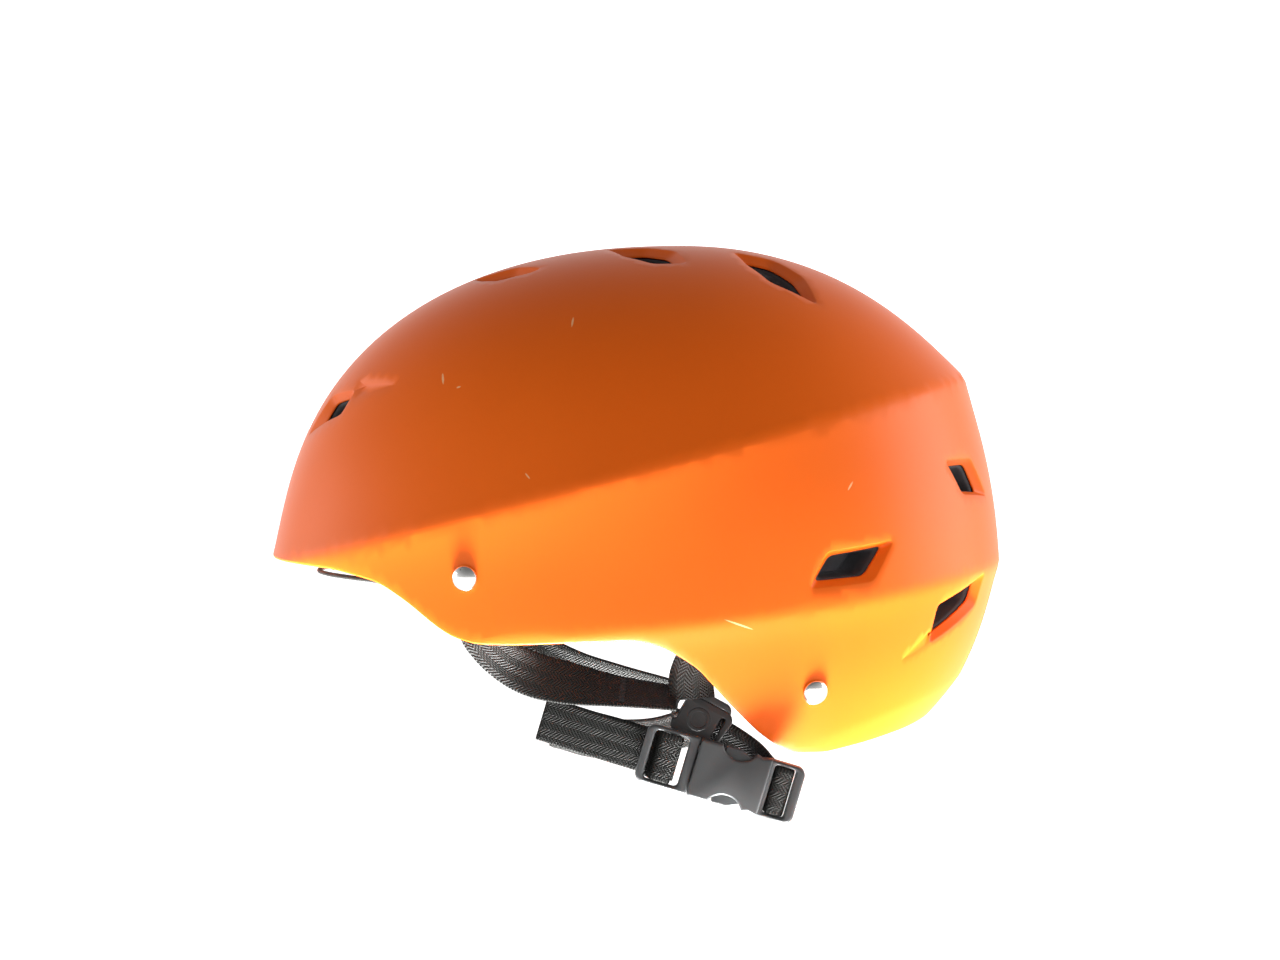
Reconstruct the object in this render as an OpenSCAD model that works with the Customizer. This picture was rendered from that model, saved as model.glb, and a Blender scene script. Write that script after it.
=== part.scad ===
// Water sports helmet: one-piece hard shell, foam liner, comfort pads, riveted webbing and a
// side-release chin buckle. Front of the head is -Y, the wearer's left is +X, up is +Z.

/* [Shell] */
// Half of the shell's width at the ears, without the creases
half_width = 104; // [98:1:108]
// Reach of the shell forward of its radial centre
front_reach = 148.5; // [145:0.5:151]
// Reach of the shell behind its radial centre
back_reach = 121; // [118:0.5:124]
// Height of the dome above its radial centre
crown_height = 116; // [113:0.5:119]
// Thickness of the hard shell
wall = 3; // [2.5:0.1:3.5]
// Height of the upper crease over the plain dome
upper_ridge = 6.5; // [4:0.5:7]
// Height of the lower crease over the plain dome
lower_ridge = 3.2; // [2.5:0.1:3.5]

/* [Lining] */
// Thickness of the foam liner
liner_thick = 12; // [9:1:13]
// Thickness of the comfort pads
pad_thick = 7; // [5:0.5:8]
// Depth of the channel for straps between the shell and the liner at the sides
strap_channel = 5.5; // [5:0.1:6]

/* [Webbing] */
// Width of the webbing
web_w = 16.5; // [15:0.5:17]
// Thickness of the webbing
web_t = 1.4; // [1:0.1:1.5]

/* [Rivets] */
// Diameter of a rivet's domed head
rivet_head_d = 9.5; // [8:0.5:11]
// Diameter of a rivet's shank
rivet_shank_d = 4; // [3.5:0.1:4.5]

/* [Buckle] */
// Outer width of the buckle
buckle_w = 21.5; // [21.5:0.5:22.5]
// Thickness of the socket half
socket_t = 9; // [8.6:0.1:10]
// Thickness of the plug half's frame
plug_t = 5; // [4.6:0.1:5.2]

/* [Hidden] */

// Radial centre that the shell's surface is measured from
centre = [0, 15, 3];
// Exponents of the oval sections, towards the front and towards the back
front_square = 2.25;
back_square = 2.15;
// Depth of the surface below the centre, at the sides and at the back
side_depth = 135;
back_depth = 98;
// Distances over which each crease fades, above and below its line
upper_fade = [25, 20];
lower_fade = [30, 11];
upper_slope = 0.268;
// Lower edge of the shell in side view, front to back
rim_line = [[-150, 2], [-140, 1.2], [-128, 0.3], [-114, -0.7], [-96, -5], [-84, -12.8],
            [-77, -18.8], [-69, -24.4], [-59, -27.3], [-45, -27.4], [-20, -26.2],
            [0, -25.4], [10, -28], [22, -35.5], [33, -48], [44, -59.5], [51, -65],
            [58, -68.4], [70, -68.8], [85, -66], [102, -62.2], [112, -59.3], [125, -56.4],
            [150, -51.6]];
sectors = 60;
dome_rings = 10;
side_rings = 5;
skirt_rings = 4;
gap = 0.5;
pad_gap = 1.5;

// Vents of the left half: azimuth and polar angle of the middle, then the opening's corners
vents = [
    [-66, 34, [[-18, -4], [-9, 6], [7, 9], [9, 4], [3, -5], [-7, -7]]],
    [-20, 16, [[-19, 8], [-5, 11], [8, 5], [17, -6], [6, -12], [-8, -4]]],
    [45, 26, [[0, 21], [9, 10], [8, -7], [0, -23], [-9, -8], [-7, 8]]],
    [-75, 68, [[-10, -10], [-8, 3.5], [9, 7], [8.5, -1]]],
    [34, 91, [[-14, -6.5], [-8, 4], [16, 7.5], [7, -4.5]]],
    [65.5, 76, [[-11.5, 5.5], [6, 5], [15, -7], [-4, -6]]],
    [62.5, 99.4, [[-13.5, -12], [-13.5, 0.5], [13.5, 10.5], [13, 1.2]]]];
bevel = 2.2;

// Rivets: side-view place [y, z] of the front and the rear one
rivet_spots = [[-63, -3.5], [65.2, -45.8]];

// Buckle: middle of the seam between its halves, and the tilt of its axis
seam = [93, 20.8, -72.7];
buckle_tilt = 16.5;

function ramp(v, low, high) = let (t = min(max((v - low)/(high - low), 0), 1)) t*t*(3 - 2*t);
function direction(az, polar) = [sin(polar)*cos(az), sin(polar)*sin(az), cos(polar)];
function fade(s, height, reach) = height*exp(s > 0 ? -s/reach[0] : s/reach[1]);
function upper_line(y) = 33.4 + upper_slope*y;
function lower_line(y) = -22 + 0.08*y + (y > 0 ? 0.0005*y*y : 0);

// Distance of the plain dome from the centre along a unit direction
function dome_radius(d) =
    let (reach = d.y > 0 ? back_reach : front_reach,
         square = front_square + (back_square - front_square)*ramp(d.y, -0.35, 0.35),
         flat = max(norm([d.x, d.y]), 0.001),
         back_share = d.y > 0 ? pow(d.y/flat, 2) : 0,
         depth = d.z > 0 ? crown_height : side_depth + (back_depth - side_depth)*back_share,
         total = pow(abs(d.x)/half_width, square) + pow(abs(d.y)/reach, square)
                 + pow(abs(d.z)/depth, square))
    pow(total, -1/square);

// Distance of the shell's outer surface, with both creases
function shell_radius(d) =
    let (r = dome_radius(d), y = centre.y + r*d.y, z = centre.z + r*d.z,
         above_upper = (z - upper_line(y))/sqrt(1 + upper_slope*upper_slope))
    r + fade(above_upper, upper_ridge, upper_fade) + fade(z - lower_line(y), lower_ridge, lower_fade);

function shell_point(az, polar, inset = 0) =
    let (d = direction(az, polar)) centre + (shell_radius(d) - inset)*d;

function line_height(kind, y) =
    kind == "rim" ? lookup(y, rim_line) : kind == "upper" ? upper_line(y) : lower_line(y);

// Polar angle at which the surface crosses one of the lines, by bisection
function polar_of(az, kind, low = 0, high = 150, steps = 13) =
    let (middle = (low + high)/2, p = shell_point(az, middle))
    steps == 0 ? middle
    : p.z > line_height(kind, p.y) ? polar_of(az, kind, middle, high, steps - 1)
    : polar_of(az, kind, low, middle, steps - 1);

// Polar angles of the rings in one sector: crown to upper crease, to lower crease, to the rim
function ring_angles(az, lift = 0) =
    let (rim = polar_of(az, "rim") - lift,
         lower = min(polar_of(az, "lower"), rim - 4),
         upper = min(polar_of(az, "upper"), lower - 4))
    concat([for (i = [1:dome_rings]) upper*i/dome_rings],
           [for (i = [1:side_rings]) upper + (lower - upper)*i/side_rings],
           [for (i = [1:skirt_rings]) lower + (rim - lower)*i/skirt_rings]);

// Share of the strap channel at one direction: full low down at the sides, none elsewhere
function channel(az, below_rim) =
    strap_channel*ramp(abs(cos(az)), 0.5, 0.66)*(1 - ramp(below_rim, 17, 20));

// Closed bowl between two insets under the outer surface, open at the rim
module bowl(outer_inset, inner_inset, lift, channelled) {
    sets = [for (s = [0:sectors - 1]) ring_angles(s*360/sectors, lift)];
    rings = len(sets[0]);
    function at(s, k, inset) = shell_point(s*360/sectors, sets[s][k], inset);
    outer = [for (s = [0:sectors - 1]) for (k = [0:rings - 1])
                at(s, k, outer_inset + (channelled ?
                    channel(s*360/sectors, sets[s][rings - 1] - sets[s][k]) : 0))];
    inner = [for (s = [0:sectors - 1]) for (k = [0:rings - 1]) at(s, k, inner_inset)];
    count = sectors*rings;
    top_out = 2*count;
    top_in = 2*count + 1;
    points = concat(outer, inner, [shell_point(0, 0, outer_inset), shell_point(0, 0, inner_inset)]);
    function next(s) = (s + 1) % sectors;
    quads = [for (s = [0:sectors - 1]) for (k = [0:rings - 2])
                [s*rings + k, s*rings + k + 1, next(s)*rings + k + 1, next(s)*rings + k]];
    skin_out = [for (q = quads) each [[q[0], q[3], q[2]], [q[0], q[2], q[1]]]];
    skin_in = [for (q = quads) each [[q[0] + count, q[1] + count, q[2] + count],
                                     [q[0] + count, q[2] + count, q[3] + count]]];
    caps = [for (s = [0:sectors - 1]) each [[top_out, next(s)*rings, s*rings],
                                            [top_in, s*rings + count, next(s)*rings + count]]];
    edge = [for (s = [0:sectors - 1]) let (a = s*rings + rings - 1, b = next(s)*rings + rings - 1)
                each [[a, b, b + count], [a, b + count, a + count]]];
    polyhedron(points, concat(skin_out, skin_in, caps, edge));
}

// Places its children on the surface: local X along the azimuth, local Z outward
module on_surface(az, polar) {
    n = direction(az, polar);
    u = [-sin(az), cos(az), 0];
    v = cross(n, u);
    multmatrix([[u.x, v.x, n.x, centre.x], [u.y, v.y, n.y, centre.y], [u.z, v.z, n.z, centre.z],
                [0, 0, 0, 1]])
        children();
}

// One vent: a straight opening with a bevelled recess around it
module vent_cut(vent, grow) {
    reach = shell_radius(direction(vent[0], vent[1]));
    on_surface(vent[0], vent[1]) {
        translate([0, 0, reach - 40])
            linear_extrude(60)
            offset(delta = grow)
            polygon([for (p = vent[2]) [p.x, p.y]]);
        if (grow == 0)
            hull() {
                translate([0, 0, reach - wall]) linear_extrude(0.2) polygon(vent[2]);
                translate([0, 0, reach + 2]) linear_extrude(0.2) offset(delta = 2*bevel) polygon(vent[2]);
            }
    }
}

module all_vents(grow) {
    for (vent = vents)
        for (side = [0, 1])
            mirror([side, 0, 0])
            vent_cut(vent, grow);
}

// X of the surface under a given inset, at a side-view place, by bisection
function side_x(y, z, inset, low = 20, high = 135, steps = 14) =
    let (middle = (low + high)/2, q = [middle, y, z] - centre, far = norm(q))
    steps == 0 ? middle
    : far < shell_radius(q/far) - inset ? side_x(y, z, inset, middle, high, steps - 1)
    : side_x(y, z, inset, low, middle, steps - 1);
function side_normal(y, z, inset) =
    let (n = [4, side_x(y - 2, z, inset) - side_x(y + 2, z, inset),
              side_x(y, z - 2, inset) - side_x(y, z + 2, inset)]) n/norm(n);

module at_rivets() {
    for (spot = rivet_spots)
        for (side = [0, 1])
            mirror([side, 0, 0]) {
                n = side_normal(spot.x, spot.y, 0);
                az = atan2(n.y, n.x);
                translate([side_x(spot.x, spot.y, 0), spot.x, spot.y])
                    rotate([0, acos(n.z), az])
                    children();
            }
}

// Points along a smooth curve through hand-chosen stations
function curve_at(p, i, t) =
    let (a = p[max(i - 1, 0)], b = p[i], c = p[i + 1], d = p[min(i + 2, len(p) - 1)])
    0.5*((2*b) + (c - a)*t + (2*a - 5*b + 4*c - d)*t*t + (3*b - a - 3*c + d)*t*t*t);
function smooth(p, steps) =
    concat([for (i = [0:len(p) - 2]) for (k = [0:steps - 1]) curve_at(p, i, k/steps)],
           [p[len(p) - 1]]);

function tangent(p, i) =
    let (d = p[min(i + 1, len(p) - 1)] - p[max(i - 1, 0)]) d/norm(d);

// Closed flat band along points, with the face normal given at each point
module band(points, normals, width, thick) {
    count = len(points);
    sections = [for (i = [0:count - 1])
        let (t = tangent(points, i), raw = cross(t, normals[i]), w = raw/norm(raw),
             n = cross(w, t))
        each [points[i] - w*width/2 - n*thick/2, points[i] + w*width/2 - n*thick/2,
              points[i] + w*width/2 + n*thick/2, points[i] - w*width/2 + n*thick/2]];
    last = 4*(count - 1);
    sides = [for (i = [0:count - 2]) for (k = [0:3])
        let (a = 4*i + k, b = 4*i + (k + 1) % 4)
        each [[a, b, b + 4], [a, b + 4, a + 4]]];
    ends = [[0, 2, 1], [0, 3, 2], [last, last + 1, last + 2], [last, last + 2, last + 3]];
    polyhedron(sections, concat(sides, ends));
}

// Strap beside the head. A station is [y, z, inset under the shell's surface, twist]
module side_strap(stations) {
    line = smooth(stations, 3);
    points = [for (s = line) [side_x(s[0], s[1], s[2]), s[0], s[1]]];
    normals = [for (i = [0:len(line) - 1])
        let (s = line[i], n = side_normal(s[0], s[1], s[2]), t = tangent(points, i),
             w = cross(t, n))
        n*cos(s[3]) + w*sin(s[3])];
    band(points, normals, web_w, web_t);
}

front_left = [[-68, 7.5, 5.6, 0], [-63, -4.5, 5.6, 0], [-59.5, -18, 5.6, 0], [-55.5, -27.5, 5.5, 0],
              [-48, -34.5, 5, -4], [-38, -39.3, 4.5, -24], [-27.7, -41.8, 5, -37],
              [-12.4, -44.5, 5.5, -55], [2.6, -46.6, 6, -65], [12, -48.2, 6.5, -70]];
front_right = [[-68, 7.5, 5.6, 0], [-63, -4.5, 5.6, 0], [-59, -19, 5.6, 0], [-53, -31, 5.4, 0],
               [-42, -43, 5, -18], [-26, -51, 5.5, -34], [-8, -56, 6, -48], [11, -60, 7, -56]];
rear_left = [[74, -50, 5.6, 0], [64, -45.3, 5.6, 0], [50, -36, 5.8, 0], [37, -29, 6, 0],
             [25.5, -30, 6, 0], [20, -39, 6.5, 0], [20.2, -48, 7, 0]];
rear_right = [[74, -50, 5.6, 0], [64, -45.3, 5.6, 0], [50, -39.5, 5.8, 0], [38, -37.5, 6, 0],
              [28.5, -43, 6.5, 0], [25.5, -52, 7.5, 0], [26, -58, 8, 0]];
// Short chin strap from the left divider to the socket's bar: [x, y, z]
chin_left = [[83.9, 26, -63], [83.9, 33, -67], [84.3, 40, -72], [86, 44.5, -76.8],
             [87.5, 47.4, -79.6], [89, 49.8, -81.2], [89.1, 55.3, -82.9]];
// Long chin strap from the plug, round behind the tail and under the chin to the right divider
chin_right = [[85.2, 13, -70.4], [85, 4, -67.6], [84, -8, -64], [79, -21, -61],
              [66, -29, -60], [48, -30, -62], [28, -26, -65], [6, -18, -69.5],
              [-18, -8, -73], [-42, 4, -74.5], [-62, 15, -73.5], [-76, 24, -73]];
web_across = [0, sin(buckle_tilt), cos(buckle_tilt)];

module chin_band(route) {
    points = smooth(route, 3);
    normals = [for (i = [0:len(points) - 1])
        let (n = cross(web_across, tangent(points, i))) n/norm(n)];
    band(points, normals, web_w, web_t);
}

// Frame of the buckle: local X towards the plug, local Y across and up, local Z outward
module in_buckle() {
    translate(seam)
        multmatrix([[0, 0, 1, 0], [-cos(buckle_tilt), sin(buckle_tilt), 0, 0],
                    [sin(buckle_tilt), cos(buckle_tilt), 0, 0], [0, 0, 0, 1]])
        children();
}

module outer_shell() {
    color("darkorange")
    difference() {
        bowl(0, wall, 0, false);
        all_vents(0);
        at_rivets()
            cylinder(h = 16, d = rivet_shank_d + 1, center = true, $fn = 24);
    }
}

module foam_liner() {
    color("dimgray")
    difference() {
        bowl(wall + gap, wall + gap + liner_thick, 2.5, true);
        for (vent = vents)
            for (side = [0, 1])
                mirror([side, 0, 0])
                on_surface(vent[0], vent[1])
                translate([0, 0, shell_radius(direction(vent[0], vent[1])) - 30])
                hull() {
                    linear_extrude(1) offset(delta = -2.5) polygon(vent[2]);
                    translate([0, 0, 36]) linear_extrude(1) offset(delta = -0.5) polygon(vent[2]);
                }
    }
}

// Pad against the liner's inner face, over a span of azimuth, from one drop above the rim
// to another, with its edges thinned
module rim_pad(az_from, az_to, top_rise, bottom_rise, thick) {
    steps_az = ceil(abs(az_to - az_from)/4);
    steps_up = 5;
    base = wall + gap + liner_thick + pad_gap;
    function thin(t) = 0.35 + 0.65*sqrt(max(0, 1 - pow(abs(2*t - 1), 3)));
    function angle(i, k) =
        let (az = az_from + (az_to - az_from)*i/steps_az)
        polar_of(az, "rim") - top_rise + (top_rise - bottom_rise)*k/steps_up;
    function spot(i, k, inset) = shell_point(az_from + (az_to - az_from)*i/steps_az,
                                             angle(i, k), inset);
    row = steps_up + 1;
    count = (steps_az + 1)*row;
    near = [for (i = [0:steps_az]) for (k = [0:steps_up]) spot(i, k, base)];
    far = [for (i = [0:steps_az]) for (k = [0:steps_up])
              spot(i, k, base + thick*thin(i/steps_az)*thin(k/steps_up))];
    cells = [for (i = [0:steps_az - 1]) for (k = [0:steps_up - 1])
                [i*row + k, i*row + k + 1, (i + 1)*row + k + 1, (i + 1)*row + k]];
    border = concat([for (k = [0:steps_up - 1]) k],
                    [for (i = [0:steps_az - 1]) i*row + steps_up],
                    [for (k = [0:steps_up - 1]) steps_az*row + steps_up - k],
                    [for (i = [0:steps_az - 1]) (steps_az - i)*row]);
    length = len(border);
    walls = [for (j = [0:length - 1])
        let (a = border[j], b = border[(j + 1) % length])
        each [[a, b, b + count], [a, b + count, a + count]]];
    polyhedron(concat(near, far),
        concat([for (q = cells) each [[q[0], q[2], q[1]], [q[0], q[3], q[2]]]],
               [for (q = cells) each [[q[0] + count, q[1] + count, q[2] + count],
                                      [q[0] + count, q[2] + count, q[3] + count]]],
               walls));
}

module brow_pad() {
    color("#222222")
    rim_pad(-148, -32, 22, -2.4, pad_thick);
}

module side_pad_left() {
    color("#222222")
    rim_pad(-20, 22, 34, 14, pad_thick);
}

module side_pad_right() {
    color("#222222")
    rim_pad(158, 200, 34, 14, pad_thick);
}

module nape_pad() {
    color("#222222")
    rim_pad(48, 132, 30, 2, pad_thick);
}

// Round pad under the crown, shaped to the liner
module crown_pad() {
    color("#222222")
    intersection() {
        bowl(wall + gap + liner_thick + pad_gap, wall + gap + liner_thick + pad_gap + pad_thick, 0,
             false);
        translate([0, 12, 60]) cylinder(h = 80, r = 36, $fn = 48);
    }
}

// Hook-and-loop dots between the liner's inner face and the pads
module pad_fasteners() {
    dots = [[-115, 80], [-90, 81], [-65, 80], [0, 83], [180, 83], [70, 103], [110, 103], [90, 10],
            [-90, 10]];
    face = wall + gap + liner_thick;
    color("black")
    intersection() {
        bowl(face + 0.35, face + 0.75, 0, false);
        for (dot = dots)
            on_surface(dot[0], dot[1])
            cylinder(h = 200, d = 14, $fn = 32);
    }
}

// Domed head outside, shank through the shell and the strap, clinched tail inside
module strap_rivets() {
    dome_r = 7.2;
    color("silver")
    at_rivets() {
        intersection() {
            translate([0, 0, 3.1 - dome_r]) sphere(r = dome_r, $fn = 64);
            translate([0, 0, 0.3]) cylinder(h = 4, d = rivet_head_d, $fn = 64);
        }
        translate([0, 0, -7.6]) cylinder(h = 8.1, d = rivet_shank_d, $fn = 48);
    }
}

module rivet_washers() {
    color("gray")
    at_rivets()
        translate([0, 0, -7.5])
        difference() {
            cylinder(h = 0.9, d = 11, $fn = 48);
            translate([0, 0, -1]) cylinder(h = 3, d = rivet_shank_d + 0.1, $fn = 48);
        }
}

module strap_holes() {
    at_rivets()
        cylinder(h = 24, d = rivet_shank_d + 0.4, center = true, $fn = 24);
}

module front_strap_left() {
    color("#1c1c1c")
    difference() {
        side_strap(front_left);
        strap_holes();
    }
}

module front_strap_right() {
    color("#1c1c1c")
    difference() {
        mirror([1, 0, 0]) side_strap(front_right);
        strap_holes();
    }
}

module rear_strap_left() {
    color("#1c1c1c")
    difference() {
        side_strap(rear_left);
        strap_holes();
    }
}

module rear_strap_right() {
    color("#1c1c1c")
    difference() {
        mirror([1, 0, 0]) side_strap(rear_right);
        strap_holes();
    }
}

// Plate with slots that joins the front and rear straps to the chin strap
module divider() {
    color("#2a2a2a")
    difference() {
        union() {
            linear_extrude(3, center = true)
                hull() {
                    translate([-8, 3.5]) circle(r = 3.5, $fn = 32);
                    translate([8, 4]) circle(r = 3.5, $fn = 32);
                    translate([7, -5]) circle(r = 3.5, $fn = 32);
                    translate([-5, -5]) circle(r = 3.5, $fn = 32);
                }
            cylinder(h = 3, d = 9, $fn = 48);
        }
        translate([0, 0, 2.2]) cylinder(h = 2, d = 5.8, $fn = 48);
        translate([-8.4, 0, 0]) cube([1.9, 8, 8], center = true);
        translate([8, 0, 0]) cube([1.9, 9.5, 8], center = true);
    }
}

module strap_divider_left() {
    translate([86.6, 22.5, -56])
        rotate([0, 90, 0])
        rotate([0, 0, 60])
        divider();
}

module strap_divider_right() {
    translate([-82.5, 25.5, -67])
        mirror([1, 0, 0])
        rotate([0, 90, 0])
        rotate([0, 0, 60])
        divider();
}

module chin_strap_left() {
    color("#1c1c1c") {
        chin_band(chin_left);
        in_buckle()
            rotate([90, 0, 0])
            linear_extrude(web_w - 0.4, center = true)
            polygon([[-28.9, -4.2], [-28.9, 1.9], [-29.9, 2.9], [-35, 2.9], [-36.1, 1.9],
                     [-36.1, -4.2], [-34.7, -4.2], [-34.7, 1.5], [-30.3, 1.5], [-30.3, -4.2]]);
    }
}

module chin_strap_right() {
    color("#1c1c1c")
    chin_band(chin_right);
}

// Socket half: hollow body with a notch at each side, then the bar that the strap is sewn round
module buckle_female() {
    body_len = 26;
    total = 40;
    notch_r = 7.5;
    half = buckle_w/2;
    color("#333333")
    in_buckle()
    difference() {
        union() {
            linear_extrude(socket_t, center = true)
                polygon([[0, -half], [0, half], [-24, half - 1], [-27, half], [-27, -half],
                         [-24, 1 - half]]);
            translate([-total, -half, -3]) cube([total - body_len, buckle_w, 6]);
        }
        translate([-22, 2 - half, -3]) cube([23, buckle_w - 4, 6]);
        for (side = [-1, 1])
            translate([-14.5, side*(half + 3.5), 0])
            cylinder(h = 2*socket_t, r = notch_r, center = true, $fn = 64);
        for (side = [-1, 1])
            translate([-14.5, side*(half - 0.75), 0])
            cube([11.4, 4, 6], center = true);
        translate([-total + 3.5, 1.6 - half, -5]) cube([8, buckle_w - 3.2, 10]);
    }
    color("#333333")
    in_buckle()
        translate([-34, 1.4 - half, -1.2]) cube([3, buckle_w - 2.8, 2.4]);
}

// Plug half: shoulder, guide tongue and the adjuster frame with its crossbar
module buckle_male() {
    frame_len = 20;
    half = buckle_w/2;
    color("#333333")
    in_buckle() {
        difference() {
            translate([0.2, -half, -plug_t/2]) cube([frame_len, buckle_w, plug_t]);
            translate([4, 1.5 - half, -5]) cube([13.2, buckle_w - 3, 10]);
        }
        translate([9, 1.3 - half, -1.2]) cube([3, buckle_w - 2.6, 2.4]);
        translate([-14, -2, -1.5]) cube([14.4, 4, 3]);
    }
}

// Spring arm with its catch. Local Y points to the outside of the buckle
module prong() {
    linear_extrude(5.2, center = true)
        polygon([[0, 5.8], [0, 8.3], [-9.4, 8.3], [-9.4, 10.7], [-15, 10.7], [-20.2, 8.1],
                 [-20.2, 5.8]]);
}

module prong_upper() {
    color("#303030")
    in_buckle()
        prong();
}

module prong_lower() {
    color("#303030")
    in_buckle()
        mirror([0, 1, 0])
        prong();
}

// Webbing over the adjuster's crossbar and down behind the frame's end
module lock_wrap() {
    color("#1c1c1c")
    in_buckle()
        rotate([90, 0, 0])
        linear_extrude(web_w - 0.4, center = true)
        polygon([[20, -4.6], [20, -3.2], [16.2, -3.2], [13.9, 2.4], [13, 2.9], [8.2, 2.9],
                 [7.2, 1.9], [7.2, -4.4], [8.6, -4.4], [8.6, 1.5], [12.8, 1.5], [15.2, -4.6]]);
}

// Free end of the webbing: [along the buckle's axis, height over its middle plane]
module strap_tail() {
    line = smooth([[6, -5.8], [16, -5.8], [26, -6], [36, -7.2], [47, -9.4], [58.5, -12]], 3);
    color("#1c1c1c")
    in_buckle()
        rotate([90, 0, 0])
        linear_extrude(web_w, center = true)
        polygon(concat([for (p = line) p + [0, web_t/2]],
                       [for (i = [len(line) - 1:-1:0]) line[i] - [0, web_t/2]]));
}

outer_shell();
foam_liner();
brow_pad();
crown_pad();
side_pad_left();
side_pad_right();
nape_pad();
pad_fasteners();
strap_rivets();
rivet_washers();
front_strap_left();
front_strap_right();
rear_strap_left();
rear_strap_right();
strap_divider_left();
strap_divider_right();
chin_strap_left();
chin_strap_right();
buckle_female();
buckle_male();
prong_upper();
prong_lower();
lock_wrap();
strap_tail();
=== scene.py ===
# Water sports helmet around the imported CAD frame: orange vented shell, foam liner, padded
# fabric, herringbone webbing, chrome rivets and a side-release chin buckle.
import math
import random

import bpy
import bmesh
import numpy as np
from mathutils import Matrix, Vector
from mathutils.geometry import delaunay_2d_cdt


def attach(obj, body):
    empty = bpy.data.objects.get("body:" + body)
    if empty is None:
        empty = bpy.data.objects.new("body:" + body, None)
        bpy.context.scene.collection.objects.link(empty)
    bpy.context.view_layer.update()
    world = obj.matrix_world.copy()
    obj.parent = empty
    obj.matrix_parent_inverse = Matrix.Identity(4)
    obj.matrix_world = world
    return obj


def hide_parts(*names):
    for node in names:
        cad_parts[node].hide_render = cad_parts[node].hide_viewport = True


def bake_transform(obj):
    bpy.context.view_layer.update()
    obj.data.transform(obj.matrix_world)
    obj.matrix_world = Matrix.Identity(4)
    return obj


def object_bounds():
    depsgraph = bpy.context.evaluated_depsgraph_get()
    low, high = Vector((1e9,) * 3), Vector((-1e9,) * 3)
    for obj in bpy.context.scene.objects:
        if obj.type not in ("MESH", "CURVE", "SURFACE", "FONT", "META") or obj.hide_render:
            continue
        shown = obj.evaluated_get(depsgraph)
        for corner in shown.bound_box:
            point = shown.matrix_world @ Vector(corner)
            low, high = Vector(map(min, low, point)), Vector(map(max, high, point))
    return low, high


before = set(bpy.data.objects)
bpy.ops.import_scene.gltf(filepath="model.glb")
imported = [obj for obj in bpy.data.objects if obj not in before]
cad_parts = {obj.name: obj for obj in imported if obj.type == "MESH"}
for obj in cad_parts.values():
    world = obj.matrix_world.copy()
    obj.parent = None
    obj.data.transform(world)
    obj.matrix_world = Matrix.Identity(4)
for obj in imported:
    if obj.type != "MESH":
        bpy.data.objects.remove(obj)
cad_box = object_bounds()
random.seed(7)
MM = 0.001
scene = bpy.context.scene


# ---- surface of the shell, mm
CENTRE = np.array([0.0, 15.0, 3.0])
HALF_WIDTH, FRONT_REACH, BACK_REACH, CROWN = 104.0, 148.5, 121.0, 116.0
SIDE_DEPTH, BACK_DEPTH = 135.0, 98.0
FRONT_SQUARE, BACK_SQUARE = 2.25, 2.15
UPPER_RIDGE, UPPER_FADE, UPPER_SLOPE = 6.5, (25.0, 20.0), 0.268
LOWER_RIDGE, LOWER_FADE = 3.2, (30.0, 11.0)
NAPE_RIDGE, NAPE_FADE = 0.9, (9.0, 7.0)
WALL, GAP, LINER, PAD = 3.0, 0.5, 12.0, 7.0
CHANNEL = 5.5
RIM_LINE = [(-150, 2), (-140, 1.2), (-128, 0.3), (-114, -0.7), (-96, -5), (-84, -12.8),
            (-77, -18.8), (-69, -24.4), (-59, -27.3), (-45, -27.4), (-20, -26.2),
            (0, -25.4), (10, -28), (22, -35.5), (33, -48), (44, -59.5), (51, -65),
            (58, -68.4), (70, -68.8), (85, -66), (102, -62.2), (112, -59.3), (125, -56.4),
            (150, -51.6)]
RIVETS = [(-63, -3.5), (65.2, -45.8)]


def ramp(v, low, high):
    t = np.clip((v - low)/(high - low), 0, 1)
    return t*t*(3 - 2*t)


def directions(az, polar):
    """Unit directions from azimuth and polar angles in degrees."""
    a, p = np.radians(az), np.radians(polar)
    return np.stack([np.sin(p)*np.cos(a), np.sin(p)*np.sin(a), np.cos(p)], axis=-1)


def fade(s, height, reach):
    return height*np.exp(np.where(s > 0, -s/reach[0], s/reach[1]))


def upper_line(y):
    return 33.4 + UPPER_SLOPE*y


def lower_line(y):
    return -22 + 0.08*y + np.where(y > 0, 0.0005*y*y, 0.0)


def nape_line(y):
    return -67 + 0.34*(y - 57)


def rim_line(y):
    ys, zs = zip(*RIM_LINE)
    return np.interp(y, ys, zs)


def dome_radius(d):
    x, y, z = d[..., 0], d[..., 1], d[..., 2]
    reach = np.where(y > 0, BACK_REACH, FRONT_REACH)
    square = FRONT_SQUARE + (BACK_SQUARE - FRONT_SQUARE)*ramp(y, -0.35, 0.35)
    flat = np.maximum(np.hypot(x, y), 1e-3)
    back = np.where(y > 0, (y/flat)**2, 0.0)
    depth = np.where(z > 0, CROWN, SIDE_DEPTH + (BACK_DEPTH - SIDE_DEPTH)*back)
    total = (abs(x)/HALF_WIDTH)**square + (abs(y)/reach)**square + (abs(z)/depth)**square
    return total**(-1/square)


def shell_radius(d):
    """Distance of the outer surface from CENTRE along unit directions, creases included."""
    r = dome_radius(d)
    y, z = CENTRE[1] + r*d[..., 1], CENTRE[2] + r*d[..., 2]
    above = (z - upper_line(y))/math.sqrt(1 + UPPER_SLOPE**2)
    nape = NAPE_RIDGE*np.clip((y - 45)/25, 0, 1)
    return (r + fade(above, UPPER_RIDGE, UPPER_FADE)
            + fade(z - lower_line(y), LOWER_RIDGE, LOWER_FADE)
            + nape*fade(z - nape_line(y), 1.0, NAPE_FADE))


def surface(az, polar, inset=0.0):
    d = directions(np.asarray(az, float), np.asarray(polar, float))
    return CENTRE + (shell_radius(d) - inset)[..., None]*d


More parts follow.
